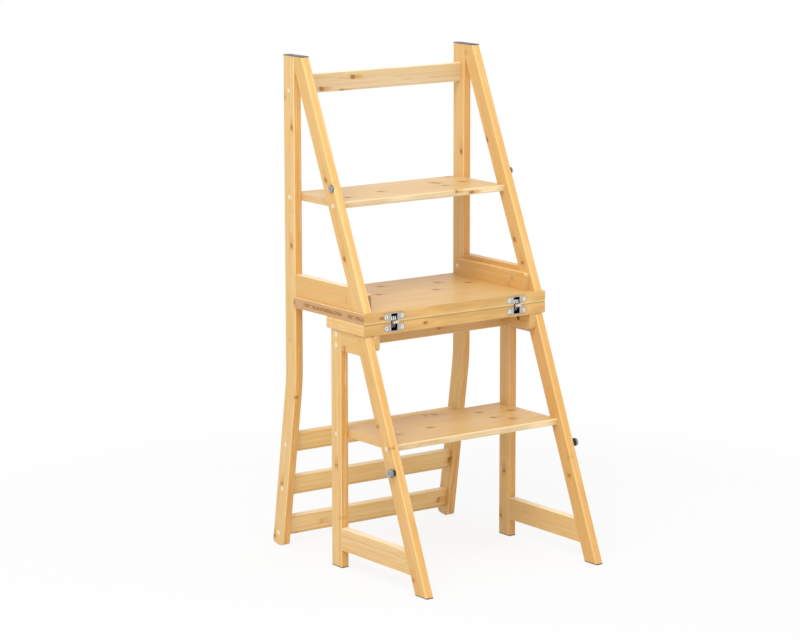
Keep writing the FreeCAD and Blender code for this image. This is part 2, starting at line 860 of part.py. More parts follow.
# Write the hinge links
lower_links = []
upper_links = []
for centre in hinge_centres.values():
    for offset in leaf_offsets(lower_leaves):
        lower_links.append(link_leaf(centre + offset, centre_eye_radius, hinge_pin_radius))
    for offset in leaf_offsets(upper_leaves):
        leaf = link_leaf(centre + offset, slotted_eye_radius, hinge_pin_radius + centre_pin_play)
        upper_links.append(mirrored(leaf))
save("lower_hinge_links", lower_links)
save("upper_hinge_links", upper_links)
save("hinge_centre_pins", [centre_pin(centre) for centre in hinge_centres.values()])

print(f"origin depth {origin_depth:.3f}, rear reach {rear_reach:.3f}")
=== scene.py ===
import json
import math

import bmesh
import bpy
from bpy.props import FloatProperty, FloatVectorProperty, PointerProperty
from bpy.types import Operator, Panel, PropertyGroup
from mathutils import Matrix, Vector


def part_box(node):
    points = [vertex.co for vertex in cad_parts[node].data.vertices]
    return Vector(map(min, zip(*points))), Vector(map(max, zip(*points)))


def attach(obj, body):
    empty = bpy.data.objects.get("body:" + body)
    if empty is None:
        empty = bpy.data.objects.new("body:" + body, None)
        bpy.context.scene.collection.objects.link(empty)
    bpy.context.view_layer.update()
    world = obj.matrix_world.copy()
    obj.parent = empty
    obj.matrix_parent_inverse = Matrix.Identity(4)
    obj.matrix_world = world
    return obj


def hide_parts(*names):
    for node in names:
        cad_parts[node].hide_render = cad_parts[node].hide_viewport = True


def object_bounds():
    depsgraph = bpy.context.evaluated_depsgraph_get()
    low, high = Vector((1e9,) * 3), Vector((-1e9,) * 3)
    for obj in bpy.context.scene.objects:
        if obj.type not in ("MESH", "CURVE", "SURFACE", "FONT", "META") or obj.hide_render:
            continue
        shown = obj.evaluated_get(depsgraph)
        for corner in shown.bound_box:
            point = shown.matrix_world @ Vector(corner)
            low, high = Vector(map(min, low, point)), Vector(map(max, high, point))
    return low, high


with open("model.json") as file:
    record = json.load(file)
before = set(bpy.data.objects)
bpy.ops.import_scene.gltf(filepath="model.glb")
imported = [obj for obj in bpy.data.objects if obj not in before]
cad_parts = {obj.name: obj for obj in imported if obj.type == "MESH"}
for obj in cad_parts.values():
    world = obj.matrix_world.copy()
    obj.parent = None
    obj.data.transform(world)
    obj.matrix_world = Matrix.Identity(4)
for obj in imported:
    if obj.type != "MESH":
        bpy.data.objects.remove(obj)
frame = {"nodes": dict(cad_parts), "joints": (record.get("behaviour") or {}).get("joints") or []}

bl_info = {
    "name": "Folding Ladder Chair",
    "version": (1, 0, 0),
    "blender": (4, 5, 0),
    "location": "View3D > Sidebar > Ladder Chair",
    "description": "Finishes the timber and builds the hardware of a folding ladder chair",
    "category": "Object",
}

CAD_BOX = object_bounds()
MM = 0.001
SIDES = ("left", "right")
X_AXIS = Vector((1, 0, 0))
Y_AXIS = Vector((0, 1, 0))
Z_AXIS = Vector((0, 0, 1))
ALONG_X = (0, math.pi / 2, 0)
ALONG_Y = (math.pi / 2, 0, 0)
TINY = 1e-5
# A point on the line about which the chair folds, and the move of a piece to the other half
FOLD = next(Vector(joint["pos_m"]) for joint in frame["joints"]
            if joint["name"] == "seat_fold")
TURNED_OVER = Matrix.Translation((0, 0, 2 * FOLD.z)) @ Matrix.Scale(-1, 4, Z_AXIS)


# Settings that a user would change
def tint(name, description, default):
    """A colour that a user may change."""
    return FloatVectorProperty(name=name, description=description, subtype="COLOR",
                               default=default, min=0, max=1)


class BambooSettings(PropertyGroup):
    honey: tint("Honey", "Main colour of the bamboo", (0.885, 0.585, 0.205))
    amber: tint("Amber", "Colour of the darker strips and fibres", (0.79, 0.43, 0.115))
    cream: tint("Cream", "Colour of the palest strips", (0.97, 0.76, 0.42))
    toast: tint("Toast", "Colour of the darkest strips", (0.60, 0.28, 0.06))
    # Painted highlight: the pale colour given to narrow top faces that catch the light
    painted_highlight: tint("Pale", "Colour of planed edges that catch the light", (0.98, 0.89, 0.70))
    end_grain: tint("End grain", "Colour of the cut ends", (0.43, 0.24, 0.13))
    knuckle: tint("Knuckle", "Colour of the marks where the cane had its knuckles",
                  (0.33, 0.14, 0.035))
    stock_strip: FloatProperty(
        name="Stock strip", description="Width of one strip in legs, posts and rails",
        default=10.5 * MM, min=2 * MM, unit="LENGTH")
    board_strip: FloatProperty(
        name="Board strip", description="Width of one strip in boards and steps",
        default=19 * MM, min=2 * MM, unit="LENGTH")
    knuckle_spacing: FloatProperty(
        name="Knuckle spacing", description="Distance between knuckles along one strip",
        default=0.27, min=0.05, unit="LENGTH")
    lacquer: FloatProperty(
        name="Lacquer", description="Strength of the clear satin lacquer", subtype="FACTOR",
        default=0.22, min=0, max=1)


class HardwareSettings(PropertyGroup):
    nickel: tint("Nickel", "Colour of the hinges", (0.54, 0.51, 0.47))
    # Painted shade: the colour that darkens the lower hinge fingers below the fold
    shaded_nickel: tint("Shaded nickel", "Colour of the shaded ends of the hinge fingers",
                      (0.20, 0.16, 0.155))
    zinc: tint("Zinc", "Colour of the wood screws", (1.0, 0.89, 0.70))
    brass: tint("Brass", "Colour of the screws in the upper cleats", (1.0, 0.76, 0.47))
    # Painted shade: the screws in the lower cleats take this dark brown because they sit in
    # shadow
    bronze: tint("Bronze", "Colour of the screws in the lower cleats", (0.42, 0.22, 0.10))
    catch: tint("Catch steel", "Colour of the catch studs and knobs", (0.46, 0.49, 0.54))
    felt: tint("Felt", "Colour of the felt pads", (0.115, 0.12, 0.13))
    rubber: tint("Rubber", "Colour of the collars behind the knobs", (0.018, 0.018, 0.02))
    recess: FloatProperty(
        name="Recess", description="Depth of the cross recess in a screw head",
        default=1.5 * MM, min=0.2 * MM, unit="LENGTH")


class StudioSettings(PropertyGroup):
    floor_size: FloatProperty(
        name="Floor size", description="Side of the pale floor", default=14.0, min=2,
        unit="LENGTH")
    world_light: FloatProperty(
        name="Room light", description="Even light from all round", default=0.80, min=0)
    key_power: FloatProperty(
        name="Key light", description="Power of the large lamp above the left",
        default=65.0, min=0, unit="POWER")
    side_power: FloatProperty(
        name="Side light", description="Power of the low lamp at the left", default=12.0,
        min=0, unit="POWER")
    fill_power: FloatProperty(
        name="Fill light", description="Power of the lamp at the right", default=6.0, min=0,
        unit="POWER")
    lens: FloatProperty(
        name="Lens", description="Focal length of the camera", default=137.18, min=20,
        unit="CAMERA")


# Shader values, with the arithmetic written as ordinary expressions
def arithmetic(operation, reflected=False):
    """One of Python's operators as a Math node."""
    if reflected:
        return lambda signal, other: signal.maths(operation, other, signal)
    return lambda signal, *others: signal.maths(operation, signal, *others)


class Signal:
    """A number or colour on a surface; arithmetic on it adds Math nodes."""

    def __init__(self, finish, socket):
        self.finish = finish
        self.socket = socket

    def maths(self, operation, *terms, clamp=False):
        settings = {"operation": operation, "use_clamp": clamp}
        return self.finish.node("ShaderNodeMath", settings, list(terms))

    __add__ = arithmetic("ADD")
    __radd__ = arithmetic("ADD", reflected=True)
    __sub__ = arithmetic("SUBTRACT")
    __rsub__ = arithmetic("SUBTRACT", reflected=True)
    __mul__ = arithmetic("MULTIPLY")
    __rmul__ = arithmetic("MULTIPLY", reflected=True)
    __truediv__ = arithmetic("DIVIDE")
    __rtruediv__ = arithmetic("DIVIDE", reflected=True)
    __pow__ = arithmetic("POWER")
    __abs__ = arithmetic("ABSOLUTE")
    floor = arithmetic("FLOOR")
    fraction = arithmetic("FRACT")
    at_least = arithmetic("MAXIMUM")

    def __neg__(self):
        return self * -1.0

    def clamped(self):
        return self.maths("ADD", self, 0.0, clamp=True)

    def ramp(self, low, high, before, after):
        return self.finish.node("ShaderNodeMapRange", {"interpolation_type": "SMOOTHSTEP"},
                                [self, low, high, before, after])

    def rise(self, low, high):
        """0 below low, 1 above high, and smooth between them."""
        return self.ramp(low, high, 0.0, 1.0)

    def fall(self, low, high):
        """1 below low, 0 above high, and smooth between them."""
        return self.ramp(low, high, 1.0, 0.0)


class Finish:
    """One material or world, with its nodes added by one method."""

    def __init__(self, owner):
        if isinstance(owner, str):
            owner = bpy.data.materials.new(owner)
        owner.use_nodes = True
        self.material = owner
        self.tree = owner.node_tree
        self.tree.nodes.clear()

    def node(self, kind, settings=None, sockets=(), output=0):
        """Adds a node, sets its settings, then its sockets, and gives one output."""
        made = self.tree.nodes.new(kind)
        for key, value in (settings or {}).items():
            setattr(made, key, value)
        pairs = sockets.items() if isinstance(sockets, dict) else enumerate(sockets)
        for key, value in pairs:
            if isinstance(value, Signal):
                self.tree.links.new(value.socket, made.inputs[key])
            else:
                made.inputs[key].default_value = value
        return Signal(self, made.outputs[output]) if made.outputs else None

    def coordinates(self, kind):
        """Three numbers: the point on the surface, or the direction that it faces."""
        point = self.node("ShaderNodeTexCoord", output=kind)
        return [self.node("ShaderNodeSeparateXYZ", sockets=[point], output=axis)
                for axis in range(3)]

    def vector(self, x, y, z):
        return self.node("ShaderNodeCombineXYZ", sockets=[x, y, z])

    def noise(self, vector, detail=2.0, roughness=0.5):
        return self.node("ShaderNodeTexNoise", sockets={
            "Vector": vector, "Scale": 1.0, "Detail": detail, "Roughness": roughness})

    def lumps(self, place, sizes, shifts=None, **look):
        """Noise with lumps of a size along each direction; a shift moves it along one."""
        spread = [number / size for number, size in zip(place, sizes)]
        for axis, shift in (shifts or {}).items():
            spread[axis] = spread[axis] + shift
        return self.noise(self.vector(*spread), **look)

    def chance(self, *numbers):
        """A random number from 0 to 1 for each set of whole numbers."""
        return self.node("ShaderNodeTexWhiteNoise", {"noise_dimensions": "3D"},
                         {"Vector": self.vector(*numbers)})

    def blend(self, amount, first, second):
        """Goes from the first colour to the second."""
        settings = {"data_type": "RGBA", "clamp_factor": True}
        return self.node("ShaderNodeMix", settings, {0: amount, 6: first, 7: second}, output=2)

    def layered(self, colour, layers):
        """Lays colours over one another, each in its amount."""
        for amount, over in layers:
            colour = self.blend(amount, colour, over)
        return colour

    def eased(self, radius):
        """The surface direction with sharp edges seen as rounded."""
        return self.node("ShaderNodeBevel", {"samples": 6}, {"Radius": radius})

    def arris(self, radius, facing):
        """1 along the sharp and the rounded edges of a square piece."""
        flat = self.node("ShaderNodeNewGeometry", output="Normal")
        aligned = self.node("ShaderNodeVectorMath", {"operation": "DOT_PRODUCT"},
                            [self.eased(radius), flat], output="Value")
        squarest = abs(facing[0]).at_least(abs(facing[1])).at_least(abs(facing[2]))
        return aligned.fall(0.80, 0.985).at_least(squarest.fall(0.80, 0.94))

    def bump(self, height, depth, strength=1.0, edge=None):
        sockets = {"Height": height, "Distance": depth, "Strength": strength}
        if edge:
            sockets["Normal"] = self.eased(edge)
        return self.node("ShaderNodeBump", sockets=sockets)

    def surface(self, **sockets):
        """The shader itself; socket names have underscores for spaces."""
        named = {key.replace("_", " "): value for key, value in sockets.items()}
        shader = self.node("ShaderNodeBsdfPrincipled", sockets=named)
        self.node("ShaderNodeOutputMaterial", sockets={"Surface": shader})
        return self.material


def opaque(colour):
    return (*colour, 1.0)


def dot(numbers, direction):
    """The sum of shader numbers times a fixed direction, without its zero terms."""
    total = None
    for number, share in zip(numbers, direction):
        if abs(share) < TINY:
            continue
        term = number if abs(share - 1) < TINY else number * share
        total = term if total is None else total + term
    return total


# Metal, felt and rubber; the sizes of their patterns are along X, Y and Z
# Name of the point attribute that holds painted shade on metal: recesses, gaps and the feet of
# heads
PAINTED_SHADE = "grime"
# Near-black colour of the painted shade in the metal's recesses
DEEP_SHADE = (0.03, 0.025, 0.02)
# Orange towards which the frame screws' recesses are darkened as painted shade
WARM_RECESS = (0.62, 0.30, 0.14)
SHADOWED_STEEL = (0.05, 0.055, 0.07)
BRUSHING_SIZE = (6 * MM, 0.3 * MM, 0.3 * MM)
FINGERPRINT_SIZE = (8 * MM, 8 * MM, 8 * MM)
PIT_SIZE = (0.6 * MM, 0.6 * MM, 0.6 * MM)
MATTING_SIZE = (2.2 * MM, 2.2 * MM, 1.2 * MM)
HAIR_SIZE = (0.5 * MM, 1.2 * MM, 0.4 * MM)
SPARK_SIZE = (0.4 * MM, 0.4 * MM, 0.4 * MM)
BLOOM_SIZE = (5 * MM, 5 * MM, 5 * MM)

# Bamboo; the sizes of its patterns are along the grain, across it and through the piece
STILE_RAKE = math.radians(8.55)
STILE_BEND_HEIGHT = 0.316
FIBRE_SIZE = (0.16, 0.0011, 0.0011)
STREAK_SIZE = (0.42, 0.0042, 0.0042)
CLOUD_SIZE = (0.275, 0.11, 0.11)
WAVER_SIZE = (0.09, 0.03, 0.03)
SWAY_SIZE = (0.13, 0.05, 0.05)
SWAY = 16 * MM
GLUE_LINE = 0.5 * MM
EASED_EDGE = 1.2 * MM
END_DOT_SCALE = 1100.0
SKIN_PATCH = (12 * MM, 3.5 * MM)
SKIN_GROUP = 45 * MM
# Where a knuckle's dark core and its halo begin to fade, and where they end
KNUCKLE_CORE = (1 * MM, 5 * MM)
KNUCKLE_HALO = (4 * MM, 20 * MM)
KNUCKLE_HALO_SHIFT = 4 * MM
SEEN_CORE = (1.6 * MM, 7.5 * MM)
SEEN_HALO = (4 * MM, 22 * MM)
SEEN_HALO_SHIFT = 6 * MM
KNUCKLE_WAVER = 10 * MM
KNUCKLE_JITTER = 4 * MM
KNUCKLE_SLANT = 0.25
BLOT_SIZE = (6 * MM, 4.5 * MM, 4.5 * MM)
# The painted highlight line above the fold on the boards' front edges, and the painted shade in
# the gap at it
LIT_LINE_HEIGHT = 2.2 * MM
FOLD_GAP_DROP = 0.2 * MM


class Wood:
    """How one bamboo piece is cut and coloured.

    Tones run from -2 for the pale painted highlight over -1 for cream, 0 for honey and 1 for
    amber to 2 for toast. The first is for the faces that show the strips' sides, and the other
    for the faces that show their edges. Tones below -1 paint a highlight, as on narrow top faces
    that face the light.
    """

    def __init__(self, grain, across, strip, layer, seed, tone=0.0, edge_tone=0.0, marks=0.4,
                 contrast=0.75, knuckles=(), bent=False, dark_core=0.0, end_stain=0.0,
                 shade_tint=0.0):
        self.grain, self.across, self.through = grain, across, grain.cross(across)
        self.strip, self.layer, self.seed = strip, layer, seed
        self.tone, self.edge_tone, self.marks = tone, edge_tone, marks
        self.contrast = contrast
        self.knuckles, self.bent = knuckles, bent
        self.dark_core, self.end_stain, self.shade_tint = dark_core, end_stain, shade_tint
        self.hinges = ()


def straightened(place):
    """The bent stile's point, moved so that its grain runs straight up."""
    x, y, z = place
    return [x, y - (STILE_BEND_HEIGHT - z).at_least(0.0) * math.tan(STILE_RAKE), z]


def lowest(node, direction, bent=False):
    """How far a CAD piece reaches against a direction."""
    found = []
    for vertex in frame["nodes"][node].data.vertices:
        point = vertex.co.copy()
        if bent:
            point.y -= max(0.0, STILE_BEND_HEIGHT - point.z) * math.tan(STILE_RAKE)
        found.append(point.dot(direction))
    return min(found)


def knuckle_mark(place, centre, wood, jitter):
    """One seen knuckle at a point of the chair: a dark wavy core, and its halo."""
    offsets = [number - value * MM for number, value in zip(place, centre)]
    along, across, through = (dot(offsets, direction) for direction in (
        wood.grain, wood.across, wood.through))
    reach = abs(across).fall(wood.strip * 0.20, wood.strip * 0.50)
    reach = reach * abs(through).fall(wood.layer * 0.2, wood.layer * 0.6)
    wave = along + across * KNUCKLE_SLANT + jitter
    core = abs(wave).fall(*SEEN_CORE) * reach
    halo = abs(wave - SEEN_HALO_SHIFT).fall(*SEEN_HALO) * reach
    return core, halo


def plate_gap(place, hinge):
    """1 in the narrow gap around a hinge plate set into a board's front edge, where shade is
    painted.
    """
    low, high = hinge
    half_height = (high.z - low.z) / 2
    reach = (high.x - low.x) / 2 - half_height
    sideways = (abs(place[0] - (low.x + high.x) / 2) - reach).at_least(0.0)
    upwards = place[2] - (low.z + high.z) / 2
    outside = (sideways * sideways + upwards * upwards) ** 0.5 - half_height
    return outside.fall(0.2 * MM, 1.3 * MM)


def fold_marks(place, node, hinges, dark, cream):
    """The painted shade round hinge plates and along the fold, and the painted highlight line
    above the fold, on a board's front edge.
    """
    front = (place[1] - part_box(node)[0].y).fall(0.5 * MM, 2.5 * MM)
    above_fold = place[2] - FOLD.z
    lit = abs(above_fold - LIT_LINE_HEIGHT).fall(0.4 * MM, 1.3 * MM)
    gap = abs(above_fold + FOLD_GAP_DROP).fall(0.6 * MM, 1.5 * MM)
    return [(plate_gap(place, hinge) * front * 0.50, dark) for hinge in hinges] + [
        (lit * front * 0.45, cream),
        (gap * front * 0.50, dark)]


def cane_skin(finish, width, depth, layer, wood):
    """The dark skin of the cane, seen as patches in a board's middle layer at its ends."""
    middle = abs(layer - 1.0).fall(0.2, 0.6)
    patch = finish.noise(finish.vector(
        width / SKIN_PATCH[0] + wood.seed, depth / SKIN_PATCH[1], 0.0),
        detail=3.0, roughness=0.6)
    group = finish.noise(finish.vector(width / SKIN_GROUP + wood.seed * 3.1, 0.0, 0.0),
                         detail=0.0)
    return middle * patch.rise(0.38, 0.50) * group.rise(0.36, 0.44) * wood.dark_core


def bamboo(node, wood):
    """Laminated bamboo strips with fibres along the grain, glue lines and knuckle marks."""
    settings = bpy.context.scene.ladder_chair_bamboo
    finish = Finish("bamboo_" + node)
    place = finish.coordinates("Object")
    if wood.bent:
        place = straightened(place)
    seed = wood.seed
    along = dot(place, wood.grain)
    width = dot(place, wood.across) - lowest(node, wood.across, wood.bent)
    depth = dot(place, wood.through) - lowest(node, wood.through, wood.bent)
    inside = (along, width, depth)

    # Each strip in each layer has its own tone and its own start of the knuckles
    waver = finish.lumps(inside, WAVER_SIZE, detail=1.0) - 0.5
    sway = (finish.lumps(inside, SWAY_SIZE, {0: seed}, detail=1.0) - 0.5) * SWAY
    strip_place = width / wood.strip + seed * 10.0 + waver * 0.10
    layer_place = depth / wood.layer + 0.001
    strip_number = strip_place.floor()
    layer_number = layer_place.floor()
    layer_key = layer_number + seed
    tone = finish.chance(strip_number, layer_key, seed)
    offset = finish.chance(layer_key, strip_number, seed + 3.0)

    # A strip's tone also moves its pattern far from its neighbours'
    fibres = finish.lumps(inside, FIBRE_SIZE, {2: tone * 40.0}, detail=3.0)
    streaks = finish.lumps((along, width + sway, depth + sway), STREAK_SIZE,
                           {0: tone * 30.0}, detail=2.0, roughness=0.6)
    clouds = finish.lumps(inside, CLOUD_SIZE, {0: seed}, detail=1.0)

    # Knuckles come at even distances along a strip
    knuckle_place = along / settings.knuckle_spacing + offset * 7.0
    from_knuckle = (knuckle_place.fraction() - 0.5) * settings.knuckle_spacing
    from_knuckle = from_knuckle + waver * KNUCKLE_WAVER
    strength = finish.chance(strip_number + 0.5, layer_key, knuckle_place.floor())
    shown = strength.rise(1.0 - wood.marks, 1.0 - wood.marks * 0.35)
    blot = finish.lumps(inside, BLOT_SIZE, {2: strip_number}, detail=2.0)
    core = abs(from_knuckle).fall(*KNUCKLE_CORE) * shown * 0.8
    halo = abs(from_knuckle - KNUCKLE_HALO_SHIFT).fall(*KNUCKLE_HALO) * shown
    jitter = (blot - 0.5) * KNUCKLE_JITTER
    for centre in wood.knuckles:
        seen_core, seen_halo = knuckle_mark(place, centre, wood, jitter)
        core = core.at_least(seen_core)
        halo = halo.at_least(seen_halo)
    core = core * blot.rise(0.22, 0.44)

    strip_edge = abs(strip_place.fraction() - 0.5)
    layer_edge = abs(layer_place.fraction() - 0.5)
    glue = strip_edge.rise(0.5 - GLUE_LINE / wood.strip, 0.5).at_least(
        layer_edge.rise(0.5 - GLUE_LINE / wood.layer, 0.5))

    # Faces that show the strips' edges take another tone than their sides
    facing = finish.coordinates("Normal")
    edge_on = abs(dot(facing, wood.across)).rise(0.5, 0.8)
    drift = edge_on * (wood.edge_tone - wood.tone) + wood.tone
    drift = drift + (tone - 0.5) * (0.62 * wood.contrast) + (clouds - 0.5) * 0.8 - 0.05
    honey, amber, cream, toast, painted_highlight, dark, end_grain = (opaque(colour) for colour in (
        settings.honey, settings.amber, settings.cream, settings.toast, settings.painted_highlight,
        settings.knuckle, settings.end_grain))
    layers = [
        (drift.clamped(), amber),
        ((-drift).clamped(), cream),
        ((drift - 1.0).clamped(), toast),
        # Tones below -1 blend to the painted highlight colour
        ((-drift - 1.0).clamped(), painted_highlight),
        (streaks.rise(0.50, 0.68) * (0.62 * wood.contrast), amber),
        (streaks.rise(0.58, 0.72) * (0.10 * wood.contrast), dark),
        (streaks.fall(0.32, 0.47) * (0.55 * wood.contrast), cream),
        (fibres.rise(0.50, 0.78) * 0.40, amber),
        (fibres.rise(0.60, 0.78) * 0.14, dark),
        (fibres.fall(0.24, 0.46) * 0.35, cream),
        (halo * 0.85, amber),
        (glue * 0.34, dark),
        (core * 0.92, dark)]
    # Painted shade: a piece may be tinted all over towards the end-grain colour
    if wood.shade_tint:
        layers.append((wood.shade_tint, end_grain))
    # Painted highlight: the edges are lightened towards cream
    layers.append((finish.arris(EASED_EDGE, facing) * 0.20, cream))
    if wood.hinges:
        layers += fold_marks(place, node, wood.hinges, dark, cream)
    colour = finish.layered(honey, layers)

    # End grain shows the cut fibres as fine dots
    end = abs(dot(facing, wood.grain)).rise(0.75, 0.92)
    dots = finish.node("ShaderNodeTexVoronoi", {"feature": "F1"}, {
        "Vector": finish.vector(*place), "Scale": END_DOT_SCALE}, output=0)
    layers = [(dots.fall(0.18, 0.42) * 0.08, dark), (wood.end_stain, end_grain)]
    if wood.dark_core:
        layers.append((cane_skin(finish, width, depth, layer_number, wood), dark))
    colour = finish.blend(end, colour, finish.layered(colour, layers))

    height = fibres * 0.6 + streaks * 0.4 - glue * 0.8 + core * 0.7 + end * dots * 1.2
    return finish.surface(
        Base_Color=colour,
        Roughness=0.42 + fibres * 0.12 + core * 0.15 + end * 0.22,
        Normal=finish.bump(height, 0.12 * MM, 0.5, edge=EASED_EDGE),
        Coat_Weight=(1.0 - end * 0.6) * settings.lacquer,
        Coat_Roughness=0.28,
        Specular_IOR_Level=0.36)


def metal(name, colour, roughness, scratches=0.5, shade_colour=DEEP_SHADE, recessed=None):
    """Plated steel with faint brushing and fingerprints, and painted shade where its mesh holds
    some.

    What is recessed gets painted shade between two depths behind the boards' front edges.
    """
    finish = Finish(name)
    place = finish.coordinates("Object")
    brushed = finish.lumps(place, BRUSHING_SIZE, detail=3.0)
    prints = finish.lumps(place, FINGERPRINT_SIZE, detail=3.0)
    pits = finish.lumps(place, PIT_SIZE, detail=1.0)
    dull = opaque(channel * 0.72 for channel in colour)
    # Painted shade: the stored amount darkens the metal towards the shade colour
    amount = finish.node("ShaderNodeAttribute", {"attribute_name": PAINTED_SHADE}, output="Fac")
    if recessed:
        amount = amount * (place[1] - FOLD.y).rise(*recessed)
    shade = finish.layered(opaque(colour), [
        (prints.rise(0.45, 0.75) * 0.55, dull),
        (brushed.rise(0.5, 0.8) * scratches * 0.5, dull),
        (amount * 0.94, opaque(shade_colour))])
    return finish.surface(
        Base_Color=shade,
        Metallic=1.0,
        Roughness=roughness + brushed * 0.14 + prints * 0.10,
        Normal=finish.bump(brushed * 0.7 + pits * 0.5, 0.04 * MM, 0.5))


def felt_finish(name, colour):
    """Dense pressed felt: matted fibres, flecks and a fuzzy surface."""
    finish = Finish(name)
    place = finish.coordinates("Object")
    matting = finish.lumps(place, MATTING_SIZE, detail=5.0, roughness=0.7)
    hairs = finish.lumps(place, HAIR_SIZE, detail=3.0)
    dark = opaque(channel * 0.55 for channel in colour)
    light = opaque(min(1.0, channel * 1.9 + 0.02) for channel in colour)
    shade = finish.layered(dark, [
        (matting.rise(0.35, 0.65), opaque(colour)),
        (hairs.rise(0.58, 0.75) * 0.55, light)])
    return finish.surface(
        Base_Color=shade,
        Roughness=0.86 + matting * 0.14,
        Normal=finish.bump(matting + hairs * 0.6, 0.5 * MM, 0.8),
        Sheen_Weight=0.35,
        Sheen_Roughness=0.5)


def rubber_finish(name, colour):
    """Moulded rubber with a fine spark texture and a dusty bloom."""
    finish = Finish(name)
    place = finish.coordinates("Object")
    spark = finish.lumps(place, SPARK_SIZE, detail=2.0)
    bloom = finish.lumps(place, BLOOM_SIZE, detail=2.0)
    dusty = opaque(channel * 2.2 + 0.01 for channel in colour)
    return finish.surface(
        Base_Color=finish.blend(bloom.rise(0.45, 0.8), opaque(colour), dusty),
        Roughness=0.50 + spark * 0.2 + bloom * 0.1,
        Normal=finish.bump(spark, 0.08 * MM, 0.6))


def dress(node, material):
    """Gives a carried-over CAD piece its material."""
    mesh = frame["nodes"][node].data
    mesh.materials.clear()
    mesh.materials.append(material)


# Modelling helpers
ROUND_SIDES = 48


def only(piece):
    """Makes one object the only thing selected."""
    bpy.ops.object.select_all(action="DESELECT")
    piece.select_set(True)
    bpy.context.view_layer.objects.active = piece


def start(add, name, **sizes):
    """Adds a primitive at its size and place."""
    bpy.ops.object.select_all(action="DESELECT")
    add(**sizes)
    piece = bpy.context.object
    piece.name = name
    settle(piece)
    return piece


def rod(name, sides, radius, depth, place, turn=(0, 0, 0)):
    """A cylinder, along Z unless it is turned."""
    return start(bpy.ops.mesh.primitive_cylinder_add, name, vertices=sides, radius=radius,
                 depth=depth, location=place, rotation=turn)


def block(name, size, place=(0, 0, 0), turn=(0, 0, 0)):
    """A box, square to the axes unless it is turned."""
    return start(bpy.ops.mesh.primitive_cube_add, name, size=1, location=place,
                 rotation=turn, scale=size)


def settle(piece):
    """Puts an object's place, turn and size into its mesh."""
    only(piece)
    bpy.ops.object.transform_apply(location=True, rotation=True, scale=True)


class Shaping:
    """Edit mode on one piece, with elements selected by a test on their place."""

    def __init__(self, piece):
        self.piece = piece

    def __enter__(self):
        only(self.piece)
        bpy.ops.object.mode_set(mode="EDIT")
        bpy.ops.mesh.select_mode(type="VERT")
        bpy.ops.mesh.select_all(action="DESELECT")
        return self

    def __exit__(self, *trouble):
        bpy.ops.object.mode_set(mode="OBJECT")
        return False

    def choose(self, mode, kind, test):
        """Selects the elements of one kind that pass the test."""
        bpy.ops.mesh.select_mode(type=mode)
        bpy.ops.mesh.select_all(action="DESELECT")
        mesh = bmesh.from_edit_mesh(self.piece.data)
        chosen = [element for element in getattr(mesh, kind) if test(element)]
        for element in chosen:
            element.select_set(True)
        if mode == "VERT":
            mesh.select_flush(True)
        bmesh.update_edit_mesh(self.piece.data)
        if not chosen:
            raise RuntimeError(f"no {mode.lower()} chosen on {self.piece.name}")

    def points(self, test):
        """Selects the vertices whose place passes the test."""
        self.choose("VERT", "verts", lambda point: test(point.co))

    def faces(self, test):
        """Selects the faces whose middle and normal pass the test."""
        self.choose("FACE", "faces",
                    lambda face: test(face.calc_center_median(), face.normal))

    def edges(self, test):
        """Selects the edges whose two ends pass the test."""
        self.choose("EDGE", "edges",
                    lambda edge: test(edge.verts[0].co, edge.verts[1].co))


def apply_modifier(piece, kind, **settings):
    only(piece)
    modifier = piece.modifiers.new(kind.title(), kind)
    for key, value in settings.items():
        setattr(modifier, key, value)
    bpy.ops.object.modifier_apply(modifier=modifier.name)


def combine(operation, piece, *others):
    """Cuts others out of a piece, or makes one closed shape of them all."""
    for other in others:
        apply_modifier(piece, "BOOLEAN", operation=operation, object=other, solver="EXACT")
        bpy.data.objects.remove(other)


def extrude(distance):
    """Extrudes what is selected along Z."""
    bpy.ops.mesh.extrude_region_move(TRANSFORM_OT_translate={"value": (0, 0, distance)})


def widen(scale):
    """Scales what is selected across Z."""
    bpy.ops.transform.resize(value=(scale, scale, 1))


def step_in(width, rise=0.0):
    """Insets the selected face, and raises what is left of it."""
    bpy.ops.mesh.inset(thickness=width, depth=0)
    if rise:
        bpy.ops.transform.translate(value=(0, 0, rise))


def soften(piece, width, segments=2, angle=35):
    """Breaks the sharp edges of a piece."""
    apply_modifier(piece, "BEVEL", width=width, segments=segments, limit_method="ANGLE",
                   angle_limit=math.radians(angle), use_clamp_overlap=True,
                   harden_normals=False)


def twin(piece, name, matrix):
    """A copy with its own mesh, moved by a matrix."""
    copy = piece.copy()
    copy.data = piece.data.copy()
    copy.name = name
    bpy.context.scene.collection.objects.link(copy)
    copy.data.transform(matrix)
    if matrix.determinant() < 0:
        copy.data.flip_normals()
    copy.data.update()
    return copy


def join(pieces, name):
    """Makes one object of several."""
    bpy.ops.object.select_all(action="DESELECT")
    for piece in pieces:
        piece.select_set(True)
    bpy.context.view_layer.objects.active = pieces[0]
    bpy.ops.object.join()
    joined = bpy.context.object
    joined.name = name
    return joined


def paint_shade(piece, shadedness):
    """Stores how much painted shade each point of a piece takes, from 0 to 1, by its place."""
    layer = piece.data.attributes.new(PAINTED_SHADE, "FLOAT", "POINT")
    for vertex, value in zip(piece.data.vertices, layer.data):
        value.value = shadedness(vertex.co)


def complete(piece, material, body, slot, node, smooth_angle=32):
    """Smooths a finished piece, gives it its material, and sets it on a body."""
    settle(piece)
    bpy.ops.object.shade_smooth_by_angle(angle=math.radians(smooth_angle))
    piece.data.materials.clear()
    piece.data.materials.append(material)
    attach(piece, body)
    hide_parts(node)


